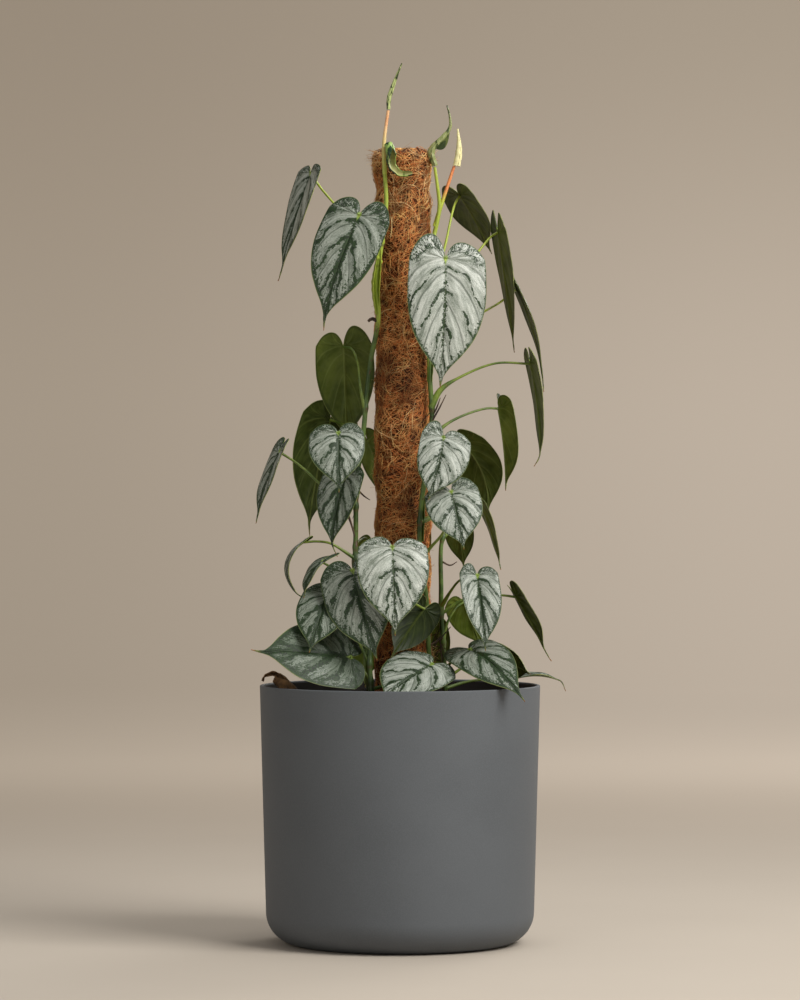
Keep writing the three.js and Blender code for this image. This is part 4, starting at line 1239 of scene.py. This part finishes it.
def make_pot():
    """The pot's profile of radii and heights, spun round the upright axis."""
    wall, corner, height, lip = POT["wall"], POT["corner"], POT["height"], POT["lip"]
    foot, top, sides = POT["foot_radius"], POT["top_radius"], 160
    profile = np.array([
        (0, wall), (40, wall), (80, wall),
        *arc_points(foot - corner, corner, corner - wall, -90, 0, 14),
        (top - wall, height - lip),
        *arc_points(top - wall + lip, height - lip, lip, 170, 90, 4),
        *arc_points(top - lip, height - lip, lip, 80, 0, 4),
        *arc_points(foot - corner, corner, corner, 0, -88, 16),
        (foot - corner - 2, 0), (60, 0), (0, 0),
    ])
    piece = sheet("pot_body", sides, len(profile) - 1, lambda i, j: upright(
        profile[j, 0], 2 * np.pi * i / sides, profile[j, 1]))
    in_edit_mode(piece, merge_doubles, face_outwards)
    paint(piece, pot_finish())
    smooth(piece, 35)
    finish(piece, "pot", "pot")


def soil_height(r):
    return SOIL["edge_height"] + SOIL["crown"] * (1 - np.clip((r / SOIL["crown_radius"]) ** 2, 0, 1))


def make_soil():
    inner = POT["top_radius"] - POT["wall"] - 1.6
    columns, rows = 180, 70

    def place(i, j):
        r = inner * j / rows
        bed = upright(r, 2 * np.pi * i / columns, soil_height(r))
        lumps = [noise.fractal(Vector((x / 11, y / 11, 0.5)), 0.7, 2.1, 4) for x, y, _ in bed]
        bed[:, 2] += SOIL["lumps"] * np.array(lumps)
        return bed

    piece = sheet("soil_bed", columns, rows, place)
    in_edit_mode(piece, merge_doubles)
    face_towards(piece, 200, (0, 0, 1))
    thicken(piece, SOIL["thickness"], offset=-1)
    paint(piece, soil_finish())
    smooth(piece, 60)
    finish(piece, "soil", "soil")


def make_crumbs():
    """Bark chips and peat crumbs that lie on the soil, each a squashed and turned copy of one lump."""
    draw = random.Random(12)
    looks = dict(bark_chips=chip_finish("bark_chip", (120, 86, 58), (46, 30, 20)),
                 peat_crumbs=chip_finish("peat_crumb", (74, 54, 40), (24, 16, 12)))
    for name, (count, size) in CRUMBS.items():
        deselect()
        bpy.ops.mesh.primitive_ico_sphere_add(subdivisions=1, radius=1)
        piece = name_active(name)
        lump = corner_places(piece) * MM
        faces = [tuple(p.vertices) for p in piece.data.polygons]
        places, all_faces = [], []
        for number in range(count):
            r, angle = 143 * math.sqrt(draw.random()), any_angle(draw)
            scale = np.array([draw.uniform(0.5, 1.3), draw.uniform(0.4, 0.9), draw.uniform(0.2, 0.6)])
            lean = Vector((draw.gauss(0, 0.4), draw.gauss(0, 0.4), 1)).to_track_quat("Z", "Y").to_matrix()
            spin = Matrix.Rotation(any_angle(draw), 3, "Z")
            rough = 1 + 0.3 * np.array([draw.uniform(-1, 1) for _ in range(len(lump))])[:, None]
            body = (lump * rough * scale * size * draw.uniform(0.5, 1.1)) @ np.array(lean @ spin).T
            r = min(r, 146 - size)
            height = float(soil_height(r)) + draw.uniform(0, 1.6)
            places.append(body + (r * math.cos(angle), r * math.sin(angle), height))
            all_faces += [tuple(v + number * len(lump) for v in face) for face in faces]
        piece.data.clear_geometry()
        piece.data.from_pydata((np.concatenate(places) * MM).tolist(), [], all_faces)
        piece.data.update()
        paint(piece, looks[name])
        finish(piece, "soil")


# Stage

def make_stage():
    """A sheet of pale paper: the floor, which sweeps up far behind the pot, past every camera."""
    front, radius, columns, rows = (STAGE[key] for key in ("front", "radius", "columns", "rows"))
    flat, bend = STAGE["back"] - front, radius * math.pi / 2

    def place(i, j):
        run = np.where(j == 0, 0.0, flat + (j - 1) / (rows - 1) * (bend + STAGE["wall_height"]))
        turn = np.clip((run - flat) / radius, 0, math.pi / 2)
        y = front + np.minimum(run, flat) + radius * np.sin(turn)
        z = radius * (1 - np.cos(turn)) + np.maximum(run - flat - bend, 0)
        return np.stack([(i / columns - 0.5) * STAGE["width"], y, z], 1)

    floor = sheet("floor_sweep", columns, rows, place)
    face_towards(floor, 0, (0, 0, 1))
    paint(floor, floor_finish())
    smooth(floor, 60)


def make_camera():
    deselect()
    bpy.ops.object.camera_add(location=(0, -CAMERA["distance"] * MM, CAMERA["eye_height"] * MM),
                              rotation=(math.pi / 2, 0, 0))
    camera = bpy.context.object
    camera.data.sensor_fit = "VERTICAL"
    camera.data.sensor_height = CAMERA["sensor"]
    camera.data.lens = CAMERA["sensor"] * CAMERA["focal_pixels"] / CAMERA["frame_height"]
    bpy.context.scene.camera = camera


def make_lights():
    for name, (place, aim_height, size, power, colour) in LAMPS.items():
        deselect()
        bpy.ops.object.light_add(type="AREA", location=Vector(place) * MM)
        lamp = bpy.context.object
        lamp.name = name
        aim = Vector((0, 0, aim_height)) - Vector(place)
        lamp.rotation_euler = aim.to_track_quat("-Z", "Y").to_euler()
        lamp.data.shape, lamp.data.size = "SQUARE", size * MM
        lamp.data.energy, lamp.data.color = power, colour
    world = bpy.data.worlds.new("studio")
    bpy.context.scene.world = world
    world.use_nodes = True
    for key, value in ROOM.items():
        world.node_tree.nodes["Background"].inputs[key].default_value = value
    bpy.context.scene.view_settings.view_transform = "Standard"


make_camera()
make_lights()
make_stage()
make_pot()
make_soil()
make_crumbs()
make_coir_core()
make_coir_fibres()
make_loose_fibres()
make_root_tangle()
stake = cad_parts["pole_stake"]
stake.data.materials.clear()
paint(stake, stake_finish())
for vine_name, vine_parts in VINES.items():
    make_vine(vine_name, vine_parts)
for leaf_number, (leaf_name, leaf) in enumerate(LEAVES.items()):
    make_leaf(leaf_name, leaf, leaf_number)
make_new_leaves()
make_dry_leaf()
